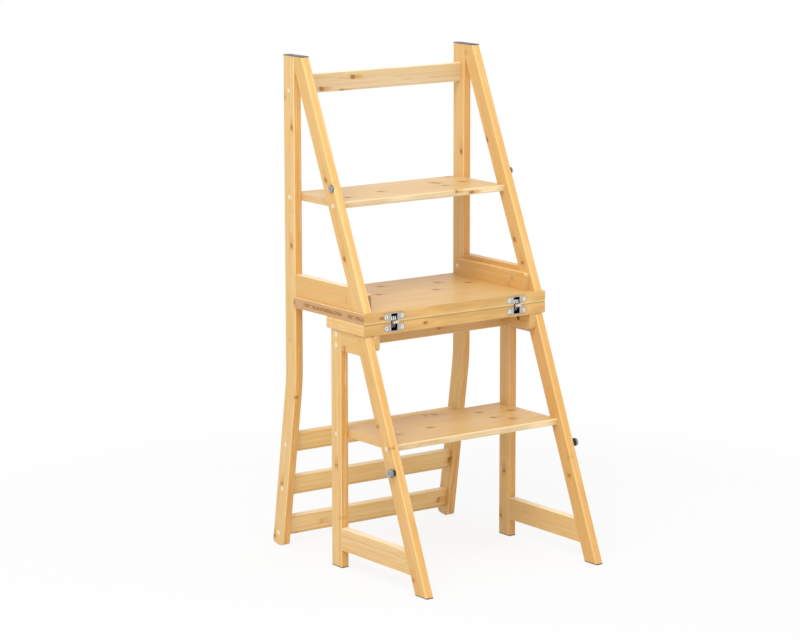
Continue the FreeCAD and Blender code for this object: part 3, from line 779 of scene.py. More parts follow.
def islands(node):
    """The box of each separate solid in a CAD piece, as (lowest, highest) corners."""
    mesh = frame["nodes"][node].data
    owner = {}

    def root(key):
        while owner[key] != key:
            owner[key] = owner[owner[key]]
            key = owner[key]
        return key

    keys = [tuple(round(value * 1e6) for value in vertex.co) for vertex in mesh.vertices]
    for key in keys:
        owner[key] = key
    for face in mesh.polygons:
        corners = [keys[index] for index in face.vertices]
        for corner in corners[1:]:
            owner[root(corner)] = root(corners[0])
    groups = {}
    for key in owner:
        groups.setdefault(root(key), []).append(key)
    boxes = []
    for group in groups.values():
        low = Vector(min(key[axis] for key in group) / 1e6 for axis in range(3))
        high = Vector(max(key[axis] for key in group) / 1e6 for axis in range(3))
        boxes.append((low, high))
    return sorted(boxes, key=lambda box: (round(box[0].x, 4), round(box[0].z, 4), box[0].y))


def aim(direction, place):
    """Turns a piece's own +Z to a direction, and moves it to a place."""
    turn = Z_AXIS.rotation_difference(direction).to_matrix().to_4x4()
    return Matrix.Translation(place) @ turn


# Timber
UPPER_GRAIN = Vector((0, 0.1900, 0.4300)).normalized()
LOWER_GRAIN = Vector((0, 0.1779, 0.4300)).normalized()

STOCK_LAYER = 8 * MM
RAIL_LAYER = 6.5 * MM
TENON_STRIP = 4 * MM
TENON_LAYER = 3 * MM
# How much the strips differ from each other
LIVELY_SIDE = 0.75
CALM_SIDE = 0.45
RAIL_CONTRAST = 0.5
BOARD_CONTRAST = 0.55
# Painted shade: the back slats are tinted towards the end-grain colour as they sit in shade
SLAT_SHADE_TINT = 0.08
# The tones were set piece by piece to how bright each piece looks, so they hold the bamboo's own
# tone and painted light and shade together; the pale edge tones of the aprons and stretchers are
# a painted highlight on their narrow top and bottom faces
# Grain, seed, tone of the sides, tone of the edges, and marks
SIDE_PIECES = {
    "left_front_leg": (LOWER_GRAIN, 1.0, 0.55, 1.15, 0.40),
    "right_front_leg": (LOWER_GRAIN, 2.0, 0.50, 1.00, 0.40),
    "left_rear_post": (Z_AXIS, 3.0, -0.05, 1.55, 0.35),
    "right_rear_post": (Z_AXIS, 4.0, -0.30, 1.45, 0.35),
    "left_upper_leg": (UPPER_GRAIN, 5.0, 0.15, 0.55, 0.40),
    "right_upper_leg": (UPPER_GRAIN, 6.0, 0.25, 0.60, 0.50),
    "left_back_stile": (Z_AXIS, 7.0, -0.25, 1.60, 0.45),
    "right_back_stile": (Z_AXIS, 8.0, 0.0, 1.60, 0.20),
    "left_lower_apron": (Y_AXIS, 9.0, 0.15, -1.6, 0.20),
    "right_lower_apron": (Y_AXIS, 10.0, 0.15, -1.0, 0.20),
    "left_side_stretcher": (Y_AXIS, 11.0, -0.25, -1.6, 0.25),
    "right_side_stretcher": (Y_AXIS, 12.0, -0.25, -1.6, 0.25),
    "left_upper_apron": (Y_AXIS, 13.0, 0.45, -1.5, 0.20),
    "right_upper_apron": (Y_AXIS, 14.0, 1.30, 0.9, 0.20),
    "left_lower_cleat": (Y_AXIS, 15.0, 0.30, 0.60, 0.15),
    "right_lower_cleat": (Y_AXIS, 16.0, 0.30, 0.60, 0.15),
    "left_upper_cleat": (Y_AXIS, 17.0, 0.25, 0.0, 0.20),
    "right_upper_cleat": (Y_AXIS, 18.0, 0.35, 0.0, 0.10),
}
# The end of the left upper cleat is darkened fully: partly the darker end grain, and partly
# painted shade beside it
END_STAINS = {"left_upper_cleat": 1.0, "right_upper_cleat": 0.35, "left_lower_cleat": 0.30,
              "right_lower_cleat": 0.30}
# The tones were set rail by rail to how bright each looks; the pale tones of the tops are a
# painted highlight, and the top rail's pale tone also paints the brighter light at the top of the
# chair
# Seed, tone, tone of the top and marks
CROSS_RAILS = {
    "top_rail": (31.0, -1.15, -1.9, 0.0),
    "upper_back_slat": (32.0, -0.10, -0.6, 0.25),
    "middle_back_slat": (33.0, -0.15, -1.3, 0.30),
    "lower_back_slat": (34.0, -0.20, -1.3, 0.30),
    "rear_seat_rail": (35.0, -0.30, -0.5, 0.25),
}
# The tones were set board by board to how bright each looks, so they hold painted light and shade
# as well as the bamboo's own tone
# Layer, seed, tone of the top, tone of the front, marks, dark core and end stain
BOARDS = {
    "upper_seat_board": (6.7 * MM, 41.0, 0.0, 0.45, 0.12, 0.85, 0.75),
    "lower_seat_board": (6.7 * MM, 42.0, 0.0, 0.55, 0.12, 0.0, 0.32),
    "upper_step": (6.0 * MM, 43.0, -0.20, -1.25, 0.10, 0.0, 0.45),
    "lower_step": (6.0 * MM, 44.0, 0.0, -1.2, 0.10, 0.0, 0.40),
}
# The knuckles that catch the eye, in mm
KNUCKLES = {
    "top_rail": ((-62, 167, 853), (-130, 167, 836), (-85, 167, 829)),
    "upper_step": ((-51, 98, 653), (91, 134, 653), (88, 90, 653),
                   (143, 112, 653), (105, 35, 646), (-141, 74, 653)),
    "upper_seat_board": ((-15, 149, 470), (47, 65, 470), (139, 88, 470), (-66, 84, 470),
                         (-161, -60, 459), (150, 190, 470)),
    "lower_seat_board": ((-68, -60, 441), (120, -60, 436)),
    "lower_step": ((21, 33, 248), (96, 0, 248), (92, -49, 248), (153, -21, 248),
                   (-49, -47, 248), (-128, -58, 246)),
    "left_back_stile": ((-196, 165, 772), (-196, 168, 560)),
    "left_upper_leg": ((-196, 4, 558), (-196, 60, 690)),
    "left_front_leg": ((-196, -145, 110),),
    "right_upper_leg": ((180, 5, 557), (180, 88, 730)),
    "right_front_leg": ((180, -90, 250),),
    "right_back_stile": ((180, 165, 700),),
}


class LADDER_OT_side_frames(Operator):
    """Finish the legs, posts, stiles, aprons, stretchers and cleats in bamboo"""
    bl_idname = "ladder_chair.side_frames"
    bl_label = "Side Frames"

    def execute(self, context):
        strip = context.scene.ladder_chair_bamboo.stock_strip
        for node, (grain, seed, tone, edge_tone, marks) in SIDE_PIECES.items():
            calm = "apron" in node or "right" in node
            wood = Wood(grain, X_AXIS.cross(grain).normalized(), strip, STOCK_LAYER, seed, tone,
                        edge_tone, marks, contrast=CALM_SIDE if calm else LIVELY_SIDE,
                        knuckles=KNUCKLES.get(node, ()), bent="back_stile" in node,
                        end_stain=END_STAINS.get(node, 0.0))
            dress(node, bamboo(node, wood))
        return {"FINISHED"}


class LADDER_OT_cross_rails(Operator):
    """Finish the top rail, the back slats and the seat rail in bamboo"""
    bl_idname = "ladder_chair.cross_rails"
    bl_label = "Cross Rails"

    def execute(self, context):
        strip = context.scene.ladder_chair_bamboo.stock_strip
        for node, (seed, tone, edge_tone, marks) in CROSS_RAILS.items():
            wood = Wood(X_AXIS, Z_AXIS, strip, RAIL_LAYER, seed, tone, edge_tone, marks,
                        contrast=RAIL_CONTRAST, knuckles=KNUCKLES.get(node, ()),
                        shade_tint=SLAT_SHADE_TINT if "slat" in node else 0.0)
            dress(node, bamboo(node, wood))
        return {"FINISHED"}


def hinge_plate(side, part):
    """The box of one hinge plate, without its housing."""
    low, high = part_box(f"{side}_{part}_hinge_cup")
    if part == "lower":
        return low, Vector((high.x, high.y, low.z + PLATE_HEIGHT))
    return Vector((low.x, low.y, high.z - PLATE_HEIGHT)), high


class LADDER_OT_boards(Operator):
    """Finish the seat boards and the steps in edge-glued bamboo"""
    bl_idname = "ladder_chair.boards"
    bl_label = "Boards and Steps"

    def execute(self, context):
        strip = context.scene.ladder_chair_bamboo.board_strip
        for node, (layer, seed, tone, edge_tone, marks, dark_core, end_stain) in BOARDS.items():
            wood = Wood(X_AXIS, Y_AXIS, strip, layer, seed, tone, edge_tone, marks,
                        contrast=BOARD_CONTRAST, knuckles=KNUCKLES.get(node, ()),
                        dark_core=dark_core, end_stain=end_stain)
            if "seat" in node:
                part = node.split("_")[0]
                wood.hinges = tuple(hinge_plate(side, part) for side in SIDES)
            dress(node, bamboo(node, wood))
        return {"FINISHED"}


class LADDER_OT_tenons(Operator):
    """Finish the loose tenons held inside the joints"""
    bl_idname = "ladder_chair.tenons"
    bl_label = "Tenons"

    def execute(self, context):
        for node, seed in (("upper_tenons", 51.0), ("lower_tenons", 52.0)):
            dress(node, bamboo(node, Wood(Y_AXIS, Z_AXIS, TENON_STRIP, TENON_LAYER, seed)))
        return {"FINISHED"}


# Screws; the rim and the recess are shares of the head's radius
FRAME_SCREW = {"head": 4.0 * MM, "head_depth": 2.6 * MM, "shank": 1.7 * MM,
               "length": 42 * MM, "rim": 0.12, "rim_shade": 0.0, "recess_dirt": 0.6}
CLEAT_SCREW = {"head": 4.5 * MM, "head_depth": 2.8 * MM, "shank": 1.7 * MM,
               "length": 22 * MM, "rim": 0.20, "rim_shade": 0.45, "recess_dirt": 0.4}
HINGE_SCREW = {"head": 3.6 * MM, "head_depth": 1.6 * MM, "shank": 1.3 * MM,
               "length": 14 * MM, "rim": 0.12, "rim_shade": 0.0, "recess_dirt": 1.0}
SCREW_SIDES = 20
RECESS_ARM = 0.52
RECESS_WIDTH = 0.20
RECESS_TURN = 0.35
RECESS_TAPER = 0.45
HEAD_CROWN = 0.12 * MM
POINT_TAPER = 0.08
SPIN_STEP = 1.9
HINGE_RECESS_SHARE = 0.8
LONGEST_NECK = 4 * MM
NECK_SHARE = 0.2
POINT_LENGTH = 3 * MM
THREAD_PITCH = 1.6 * MM
# Share of the pitch and change of width at each step of a ridge, which ends as it began
THREAD_RIDGE = ((0.25, 0.72), (0.30, 1.45), (0.20, 1.0), (0.25, 0.9578544))
# How far painted shade reaches: past the rim and the recess as shares of the head's radius, and
# down the recess, where it is full and where it ends, as shares of the recess's depth
RIM_REACH = 0.03
RECESS_REACH = 0.05
FULL_SHADE_DEPTH = 0.3
LAST_SHADE_DEPTH = 1.2


def screw_master(name, sizes, recess):
    """One countersunk wood screw, its head at the origin facing +Z and its point at -Z."""
    head, head_depth = sizes["head"], sizes["head_depth"]
    neck = min(LONGEST_NECK, sizes["length"] * NECK_SHARE)
    thread = sizes["length"] - head_depth - neck - POINT_LENGTH
    ridges = int(thread / THREAD_PITCH)
    screw = rod(name, SCREW_SIDES, head, head_depth, (0, 0, -head_depth / 2))
    with Shaping(screw) as shaping:
        shaping.points(lambda co: co.z < -head_depth + TINY)
        widen(sizes["shank"] / head)
        shaping.faces(lambda middle, normal: normal.z > 0.9)
        step_in(head * sizes["rim"], HEAD_CROWN)
        shaping.faces(lambda middle, normal: normal.z < -0.9 and middle.z < -head_depth + TINY)
        extrude(-neck)
        for share, scale in THREAD_RIDGE * ridges:
            extrude(-thread / ridges * share)
            widen(scale)
        extrude(-POINT_LENGTH)
        widen(POINT_TAPER)
    arms = []
    for turn in (0.0, math.pi / 2):
        arm = block(name + "_recess",
                    (2 * head * RECESS_ARM, 2 * head * RECESS_WIDTH, 2 * recess),
                    turn=(0, 0, turn + RECESS_TURN))
        with Shaping(arm) as shaping:
            shaping.points(lambda co: co.z < 0)
            widen(RECESS_TAPER)
        arms.append(arm)
    combine("DIFFERENCE", screw, *arms)
    soften(screw, 0.08 * MM, segments=1, angle=40)

    # Painted shade: the recess darkens with depth, and the rim of a cleat screw darkens as the
    # shadow of its countersink
    def shadedness(co):
        if co.xy.length > head * (1 - RIM_REACH - sizes["rim"]):
            return sizes["rim_shade"]
        inside = (co.xy.length < head * (RECESS_ARM + RECESS_REACH)
                  and co.z > -recess * LAST_SHADE_DEPTH)
        depth = min(1.0, max(0.0, -co.z / (FULL_SHADE_DEPTH * recess)))
        return depth * sizes["recess_dirt"] if inside else 0.0

    paint_shade(screw, shadedness)
    return screw


def drive(master, node, body, material, slot, facing):
    """Puts a copy of a screw in place of each screw of a CAD node, and turns each a bit."""
    copies = []
    for number, (low, high) in enumerate(islands(node)):
        place = (low + high) / 2
        direction = facing(place)
        for axis in range(3):
            if abs(direction[axis]) > 0.5:
                place[axis] = high[axis] if direction[axis] > 0 else low[axis]
        spin = Matrix.Rotation(number * SPIN_STEP, 4, "Z")
        copies.append(twin(master, f"{node}_{number}", aim(direction, place) @ spin))
    complete(join(copies, "drawn_" + node), material, body, slot, node, smooth_angle=28)


def outwards(middle):
    return X_AXIS if middle.x > 0 else -X_AXIS


def inwards(middle):
    return -outwards(middle)


def forwards(middle):
    return -Y_AXIS


class LADDER_OT_wood_screws(Operator):
    """Build the cross-head screws of the frames and cleats"""
    bl_idname = "ladder_chair.wood_screws"
    bl_label = "Wood Screws"

    def execute(self, context):
        hardware = context.scene.ladder_chair_hardware
        zinc = metal("zinc_screws", hardware.zinc, 0.26, scratches=0.15, shade_colour=WARM_RECESS)
        brass = metal("brass_screws", hardware.brass, 0.26, scratches=0.3)
        bronze = metal("bronze_screws", hardware.bronze, 0.40)
        frame_screw = screw_master("frame_screw", FRAME_SCREW, hardware.recess)
        cleat_screw = screw_master("cleat_screw", CLEAT_SCREW, hardware.recess)
        for part, cleat_finish in (("upper", brass), ("lower", bronze)):
            body = part + "_frame"
            drive(frame_screw, part + "_frame_screws", body, zinc, "screw_steel", outwards)
            drive(cleat_screw, part + "_cleat_screws", body, cleat_finish, "screw_steel",
                  inwards)
        bpy.data.objects.remove(frame_screw)
        bpy.data.objects.remove(cleat_screw)
        return {"FINISHED"}


class LADDER_OT_hinge_screws(Operator):
    """Build the countersunk screws of the hinge plates"""
    bl_idname = "ladder_chair.hinge_screws"
    bl_label = "Hinge Screws"

    def execute(self, context):
        hardware = context.scene.ladder_chair_hardware
        zinc = metal("hinge_screw_plating", hardware.zinc, 0.30, scratches=0.3)
        master = screw_master("hinge_screw", HINGE_SCREW, hardware.recess * HINGE_RECESS_SHARE)
        for part in ("upper", "lower"):
            drive(master, part + "_hinge_screws", part + "_frame", zinc, "hinge_steel",
                  forwards)
        bpy.data.objects.remove(master)
        return {"FINISHED"}


# Hinges
PLATE_HEIGHT = 13.5 * MM
PLATE_THICKNESS = 1.6 * MM
HOUSING_WIDTH = 15 * MM
HOUSING_DEPTH = 12.5 * MM
HOUSING_HEIGHT = 16 * MM
HOUSING_WALL = 0.9 * MM
HOUSING_INSET = 0.05 * MM
HOUSING_SHADE_INSET = 0.4 * HOUSING_WALL
HOUSING_ROUND = 2.0 * MM
PLATE_BEVEL = 0.45 * MM
TOOL_LEAD = 1.0 * MM
SINK_PLAY = 0.25 * MM
SINK_DEPTH = 1.2 * PLATE_THICKNESS
SINK_LEAD = 0.02 * MM
PIVOT_DEPTH = 3.0 * MM
PIVOT_DROP = 2.0 * MM
LINK_LENGTH = math.hypot(6.0, 2.0) * MM
LINK_ANGLE = math.radians(156.84)
PIN_RADIUS = 0.8 * MM
PIN_PLAY = 0.05 * MM
PIVOT_EYE = 2.0 * MM
CENTRE_EYE = 1.9 * MM
SLOTTED_EYE = 2.7 * MM
SLOT_RADIUS = 1.95 * MM
LEAF_THICKNESS = 1.9 * MM
LEAF_PITCH = 4.2 * MM
TAIL_DEPTH = 2.9 * MM
TAIL_WIDTH = 3.0 * MM
TAIL_THICKNESS = 2.4 * MM
TAIL_ROOT = 2.6 * MM
TAIL_END = 10.2 * MM
TAIL_LEAN = 0.85 * MM
TAIL_TAPER = 0.55
TAIL_ROUND = 0.6 * MM


def brightened(colour):
    """A brighter copy of a colour, a painted highlight for the hinge fingers."""
    return tuple(min(1.0, channel * 1.7) for channel in colour)


def hinge_cup(name, low, high):
    """The lower half of one hinge: an oval plate with a housing behind it."""
    middle = (low + high) / 2
    front = low.y
    level = low.z + PLATE_HEIGHT / 2
    end = PLATE_HEIGHT / 2
    reach = (high.x - low.x) / 2 - end
    cup = rod(name, ROUND_SIDES, end, PLATE_THICKNESS,
              (middle.x, front + PLATE_THICKNESS / 2, level), ALONG_Y)
    with Shaping(cup) as shaping:
        bpy.ops.mesh.select_all(action="SELECT")
        bpy.ops.transform.rotate(value=math.pi / ROUND_SIDES, orient_axis="Y",
                                 center_override=(middle.x, front, level))
        for side in (-1, 1):
            shaping.points(lambda co: (co.x - middle.x) * side > TINY and
                           abs(co.x - middle.x) < end + TINY)
            bpy.ops.transform.translate(value=(side * reach, 0, 0))
        shaping.edges(lambda a, b: a.y < front + TINY and b.y < front + TINY)
        bpy.ops.mesh.bevel(offset=PLATE_BEVEL, segments=3)
    housing = block(name + "_housing",
                    (HOUSING_WIDTH, HOUSING_DEPTH - 2 * HOUSING_INSET, HOUSING_HEIGHT),
                    (middle.x, front + HOUSING_DEPTH / 2 + HOUSING_INSET,
                     FOLD.z - HOUSING_HEIGHT / 2))
    with Shaping(housing) as shaping:
        halfway = front + HOUSING_DEPTH / 2
        shaping.edges(lambda a, b: abs(a.x - b.x) < TINY and a.y > halfway and b.y > halfway)
        bpy.ops.mesh.bevel(offset=HOUSING_ROUND, segments=4)
    combine("UNION", cup, housing)
    # The tools start outside the cup, so that they cut its front and its top open
    tools = [block(name + "_slot",
                   (HOUSING_WIDTH - 2 * HOUSING_WALL,
                    HOUSING_DEPTH - HOUSING_WALL + 2 * TOOL_LEAD,
                    HOUSING_HEIGHT - HOUSING_WALL + 2 * TOOL_LEAD),
                   (middle.x, front + (HOUSING_DEPTH - HOUSING_WALL) / 2 - TOOL_LEAD,
                    FOLD.z - (HOUSING_HEIGHT - HOUSING_WALL) / 2 + TOOL_LEAD))]
    for screw_low, screw_high in islands("lower_hinge_screws"):
        centre = (screw_low + screw_high) / 2
        if abs(centre.x - middle.x) < high.x - middle.x:
            tools.append(start(
                bpy.ops.mesh.primitive_cone_add, name + "_sink", vertices=32,
                radius1=HINGE_SCREW["head"] + SINK_PLAY, radius2=HINGE_SCREW["shank"],
                depth=SINK_DEPTH, rotation=(-math.pi / 2, 0, 0),
                location=(centre.x, front + SINK_DEPTH / 2 - SINK_LEAD, centre.z)))
    combine("DIFFERENCE", cup, *tools)
    soften(cup, 0.12 * MM, segments=1, angle=50)
    # Painted shade inside the housing, which the nickel fades in from just behind the front
    half_slot = HOUSING_WIDTH / 2 - HOUSING_SHADE_INSET
    slot_back = front + HOUSING_DEPTH - HOUSING_SHADE_INSET
    paint_shade(cup, lambda co: float(abs(co.x - middle.x) < half_slot and co.y < slot_back))
    return cup


class LADDER_OT_hinge_cups(Operator):
    """Build the four hinge cups with their oval plates"""
    bl_idname = "ladder_chair.hinge_cups"
    bl_label = "Hinge Cups"

    def execute(self, context):
        hardware = context.scene.ladder_chair_hardware
        # The nickel takes painted shade in the housings, from 0.2 to 1.2 mm behind the fold line
        nickel = metal("hinge_nickel", hardware.nickel, 0.24, recessed=(0.2 * MM, 1.2 * MM))
        for side in SIDES:
            node = side + "_lower_hinge_cup"
            other = side + "_upper_hinge_cup"
            cup = hinge_cup("drawn_" + node, *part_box(node))
            upper = twin(cup, "drawn_" + other, TURNED_OVER)
            complete(cup, nickel, "lower_frame", "hinge_steel", node)
            complete(upper, nickel, "upper_frame", "hinge_steel", other)
        return {"FINISHED"}


def link_leaf(name, eye, hole):
    """One flat finger of a hinge: a bar with a round eye at each end, and a guide tail."""
    pivot = Vector((0, FOLD.y + PIVOT_DEPTH, FOLD.z - PIVOT_DROP))
    along = Vector((0, math.cos(LINK_ANGLE), math.sin(LINK_ANGLE)))
    far = pivot + along * LINK_LENGTH
    leaf = rod(name, 32, PIVOT_EYE, LEAF_THICKNESS, pivot, ALONG_X)
    with Shaping(leaf) as shaping:
        shaping.points(lambda co: (co - pivot).dot(along) > TINY)
        bpy.ops.transform.resize(value=(1, eye / PIVOT_EYE, eye / PIVOT_EYE),
                                 center_override=pivot)
        bpy.ops.transform.translate(value=along * LINK_LENGTH)
    tail_foot = FOLD.z - TAIL_END + TINY
    tail = block(name + "_tail", (TAIL_THICKNESS, TAIL_WIDTH, TAIL_END - TAIL_ROOT),
                 (0, FOLD.y + TAIL_DEPTH, FOLD.z - (TAIL_ROOT + TAIL_END) / 2))
    with Shaping(tail) as shaping:
        shaping.points(lambda co: co.z < tail_foot)
        bpy.ops.transform.resize(value=(1, TAIL_TAPER, 1),
                                 center_override=(0, FOLD.y + TAIL_DEPTH, FOLD.z))
        bpy.ops.transform.translate(value=(0, TAIL_LEAN, 0))
        shaping.edges(lambda a, b: a.z < tail_foot and abs(a.z - b.z) < TINY
                      and abs(a.y - b.y) < TINY)
        bpy.ops.mesh.bevel(offset=TAIL_ROUND, segments=3)
    combine("UNION", leaf, tail)
    combine("DIFFERENCE", leaf, *(
        rod(name + "_eye", 24, radius, LEAF_THICKNESS * 2, place, ALONG_X)
        for place, radius in ((pivot, PIN_RADIUS + PIN_PLAY), (far, hole))))
    soften(leaf, 0.22 * MM, angle=50)
    return leaf


class LADDER_OT_hinge_links(Operator):
    """Build the fingers that join the hinge halves"""
    bl_idname = "ladder_chair.hinge_links"
    bl_label = "Hinge Links"

    def execute(self, context):
        hardware = context.scene.ladder_chair_hardware
        # The fingers take a brighter copy of the nickel as painted highlight, and the shaded
        # nickel as painted shade below the fold
        nickel = metal("link_nickel", brightened(hardware.nickel), 0.20, scratches=0.2,
                       shade_colour=hardware.shaded_nickel)
        lower = link_leaf("lower_leaf", CENTRE_EYE, PIN_RADIUS + PIN_PLAY)
        upper = link_leaf("upper_leaf", SLOTTED_EYE, SLOT_RADIUS)
        # Painted shade on the lower fingers, deepening below the fold
        paint_shade(lower, lambda co: min(1.0, max(0.0, (FOLD.z - co.z) / PIVOT_DROP)))
        sets = (("lower", lower, Matrix.Identity(4), (-0.5, 0.5)),
                ("upper", upper, TURNED_OVER, (-1, 0, 1)))
        for part, master, turn, offsets in sets:
            node = part + "_hinge_links"
            leaves = []
            for side in SIDES:
                low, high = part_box(side + "_lower_hinge_cup")
                for offset in offsets:
                    shift = Matrix.Translation(((low.x + high.x) / 2 + offset * LEAF_PITCH, 0, 0))
                    leaves.append(twin(master, node + side, shift @ turn))
            complete(join(leaves, "drawn_" + node), nickel, part + "_links", "hinge_steel",
                     node)
            bpy.data.objects.remove(master)
        return {"FINISHED"}


class LADDER_OT_hinge_pins(Operator):
    """Finish the pivot pins and the centre pins of the hinges"""
    bl_idname = "ladder_chair.hinge_pins"
    bl_label = "Hinge Pins"

    def execute(self, context):
        hardware = context.scene.ladder_chair_hardware
        steel = metal("hinge_pin_steel", hardware.nickel, 0.30, scratches=0.8)
        for node in ("lower_hinge_pins", "upper_hinge_pins", "hinge_centre_pins"):
            dress(node, steel)
        return {"FINISHED"}


# Catches
HEAD_BEVEL = 0.8 * MM
# The steps of a turned head from its rim inwards: share of the radius, and rise
HEAD_STEPS = ((0.06, 0.0), (0.08, -0.35 * MM), (0.40, 0.25 * MM))
# Painted shade on a turned head: how much lies at its foot, on its rim and in its middle, and
# the shares of its height and of its radius where the foot and the middle end
FOOT_SHADE = 0.8
RIM_SHADE = 0.85
MIDDLE_SHADE = 0.45
FOOT_END = 0.3
MIDDLE_END = 0.5
STUD_RADIUS = 6.4 * MM
STUD_HEIGHT = 3.6 * MM
KNOB_RADIUS = 7.3 * MM
KNOB_HEIGHT = 5.2 * MM
COLLAR_RADIUS = 5.4 * MM
COLLAR_HEIGHT = 6.0 * MM
GROOVE_LEVELS = (2.0 * MM, 4.0 * MM)
GROOVE_RADIUS = 0.45 * MM
CATCH_SHANK = 2.0 * MM
STUD_SHANK_LENGTH = 12 * MM
KNOB_SHANK_LENGTH = 18 * MM
KNURL_INSET = 0.12 * MM
KNURL_HEIGHT = 0.10 * MM


def catch_head(name, radius, height, shank_length):
    """A turned steel head facing +Z, with a raised rim, a dished face and a shank."""
    head = rod(name, ROUND_SIDES, radius, height, (0, 0, height / 2))
    with Shaping(head) as shaping:
        shaping.edges(lambda a, b: a.z > height - TINY and b.z > height - TINY)
        bpy.ops.mesh.bevel(offset=HEAD_BEVEL, segments=4)
        shaping.faces(lambda middle, normal: normal.z > 0.99)
        for share, rise in HEAD_STEPS:
            step_in(radius * share, rise)
        shaping.faces(lambda middle, normal: normal.z < -0.9)
        step_in(radius - CATCH_SHANK)
        extrude(-shank_length)
    return head


def paint_head_shade(head, radius, height):
    """Stores painted shade on a turned head at its foot, round its rim and in its dished middle.
    """

    def shadedness(co):
        if co.xy.length > 0.9 * radius and co.z < FOOT_END * height:
            return FOOT_SHADE
        if co.z > height - 0.9 * HEAD_BEVEL:
            if co.xy.length > radius - 0.9 * HEAD_BEVEL:
                return RIM_SHADE
            return MIDDLE_SHADE if co.xy.length < MIDDLE_END * radius else 0.0
        return 0.0

    paint_shade(head, shadedness)


def catch_place(node, leg):
    """Where a catch stands on the outer face of its leg, and the direction it faces."""
    low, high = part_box(node)
    place = (low + high) / 2
    direction = outwards(place)
    leg_low, leg_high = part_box(leg)
    place.x = leg_high.x if direction.x > 0 else leg_low.x
    return direction, place


class LADDER_OT_upper_studs(Operator):
    """Build the flat steel studs on the upper legs"""
    bl_idname = "ladder_chair.upper_studs"
    bl_label = "Upper Studs"

    def execute(self, context):
        steel = metal("stud_steel", context.scene.ladder_chair_hardware.catch, 0.18,
                      shade_colour=SHADOWED_STEEL)
        master = catch_head("stud", STUD_RADIUS, STUD_HEIGHT, STUD_SHANK_LENGTH)
        paint_head_shade(master, STUD_RADIUS, STUD_HEIGHT)
        for side in SIDES:
            node = side + "_upper_stud"
            where = catch_place(node, side + "_upper_leg")
            stud = twin(master, "drawn_" + node, aim(*where))
            complete(stud, steel, "upper_frame", "catch_steel", node)
        bpy.data.objects.remove(master)
        return {"FINISHED"}


def knob():
    """A latch knob facing +Z, with a knurled side."""
    head = catch_head("knob", KNOB_RADIUS, KNOB_HEIGHT, KNOB_SHANK_LENGTH)
    with Shaping(head) as shaping:
        shaping.faces(lambda middle, normal: abs(normal.z) < 0.1 and middle.z > 0
                      and middle.xy.length > KNOB_RADIUS * 0.94)
        bpy.ops.mesh.inset(thickness=KNURL_INSET, depth=0, use_individual=True)
        bpy.ops.transform.shrink_fatten(value=KNURL_HEIGHT)
    paint_head_shade(head, KNOB_RADIUS, KNOB_HEIGHT)
    return head


def collar():
    """A rubber collar along +Z, with two grooves and a bore for the knob's shank."""
    ring = rod("collar", ROUND_SIDES, COLLAR_RADIUS, COLLAR_HEIGHT, (0, 0, COLLAR_HEIGHT / 2))
    tools = [rod("bore", 32, CATCH_SHANK + PIN_PLAY, COLLAR_HEIGHT * 2, (0, 0, 0))]
    for level in GROOVE_LEVELS:
        tools.append(start(bpy.ops.mesh.primitive_torus_add, "groove", major_segments=48,
                           minor_segments=8, major_radius=COLLAR_RADIUS,
                           minor_radius=GROOVE_RADIUS, location=(0, 0, level)))
    combine("DIFFERENCE", ring, *tools)
    soften(ring, 0.3 * MM, angle=60)
    return ring


class LADDER_OT_latch_knobs(Operator):
    """Build the steel knobs and their rubber collars on the front legs"""
    bl_idname = "ladder_chair.latch_knobs"
    bl_label = "Latch Knobs"

    def execute(self, context):
        hardware = context.scene.ladder_chair_hardware
        steel = metal("knob_steel", hardware.catch, 0.16, shade_colour=SHADOWED_STEEL)
        rubber = rubber_finish("collar_rubber", hardware.rubber)
        sets = (("latch_knob", knob(), steel, "catch_steel", COLLAR_HEIGHT),
                ("latch_collar", collar(), rubber, "black_rubber", 0.0))
        for side in SIDES:
            direction, place = catch_place(side + "_latch_collar", side + "_front_leg")
            for name, master, material, slot, distance in sets:
                node = f"{side}_{name}"
                piece = twin(master, "drawn_" + node,
                             aim(direction, place + direction * distance))
                complete(piece, material, "lower_frame", slot, node)
        for _, master, *_ in sets:
            bpy.data.objects.remove(master)
        return {"FINISHED"}


# Felt pads
FELT_ROUND = 0.5 * MM
FELT_LUMP = 2.5 * MM
FELT_LUMP_HEIGHT = 0.22 * MM
FELT_PADS = {
    "front_foot_pad": "lower_frame",
    "rear_foot_pad": "lower_frame",
    "top_pad": "upper_frame",
}


def felt_pad(node, material, body):
    """A pressed felt pad with slack edges, the size of its CAD piece."""
    low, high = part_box(node)
    middle = (low + high) / 2
    corners = [vertex.co for vertex in frame["nodes"][node].data.vertices]
    pad = block("drawn_" + node, high - low, middle)
    with Shaping(pad) as shaping:
        for level in (low.z, high.z):
            depths = [co.y for co in corners if abs(co.z - level) < TINY]
            for side, edge, target in ((-1, low.y, min(depths)), (1, high.y, max(depths))):
                shaping.points(lambda co: (co.y - middle.y) * side > 0
                               and abs(co.z - level) < TINY)
                bpy.ops.transform.translate(value=(0, target - edge, 0))
        bpy.ops.mesh.select_all(action="SELECT")
        bpy.ops.mesh.bevel(offset=FELT_ROUND, segments=3, affect="EDGES")
        bpy.ops.mesh.select_all(action="SELECT")
        bpy.ops.mesh.subdivide(number_cuts=2)
    rough = bpy.data.textures.new("felt_lumps", "CLOUDS")
    rough.noise_scale = FELT_LUMP
    apply_modifier(pad, "DISPLACE", texture=rough, texture_coords="LOCAL",
                   strength=FELT_LUMP_HEIGHT, mid_level=0.9)
    complete(pad, material, body, "felt", node, smooth_angle=60)


class LADDER_OT_felt_pads(Operator):
    """Build the felt pads under the feet and on the top"""
    bl_idname = "ladder_chair.felt_pads"
    bl_label = "Felt Pads"

    def execute(self, context):
        felt = felt_finish("grey_felt", context.scene.ladder_chair_hardware.felt)
        for side in SIDES:
            for name, body in FELT_PADS.items():
                felt_pad(side + "_" + name, felt, body)
        return {"FINISHED"}


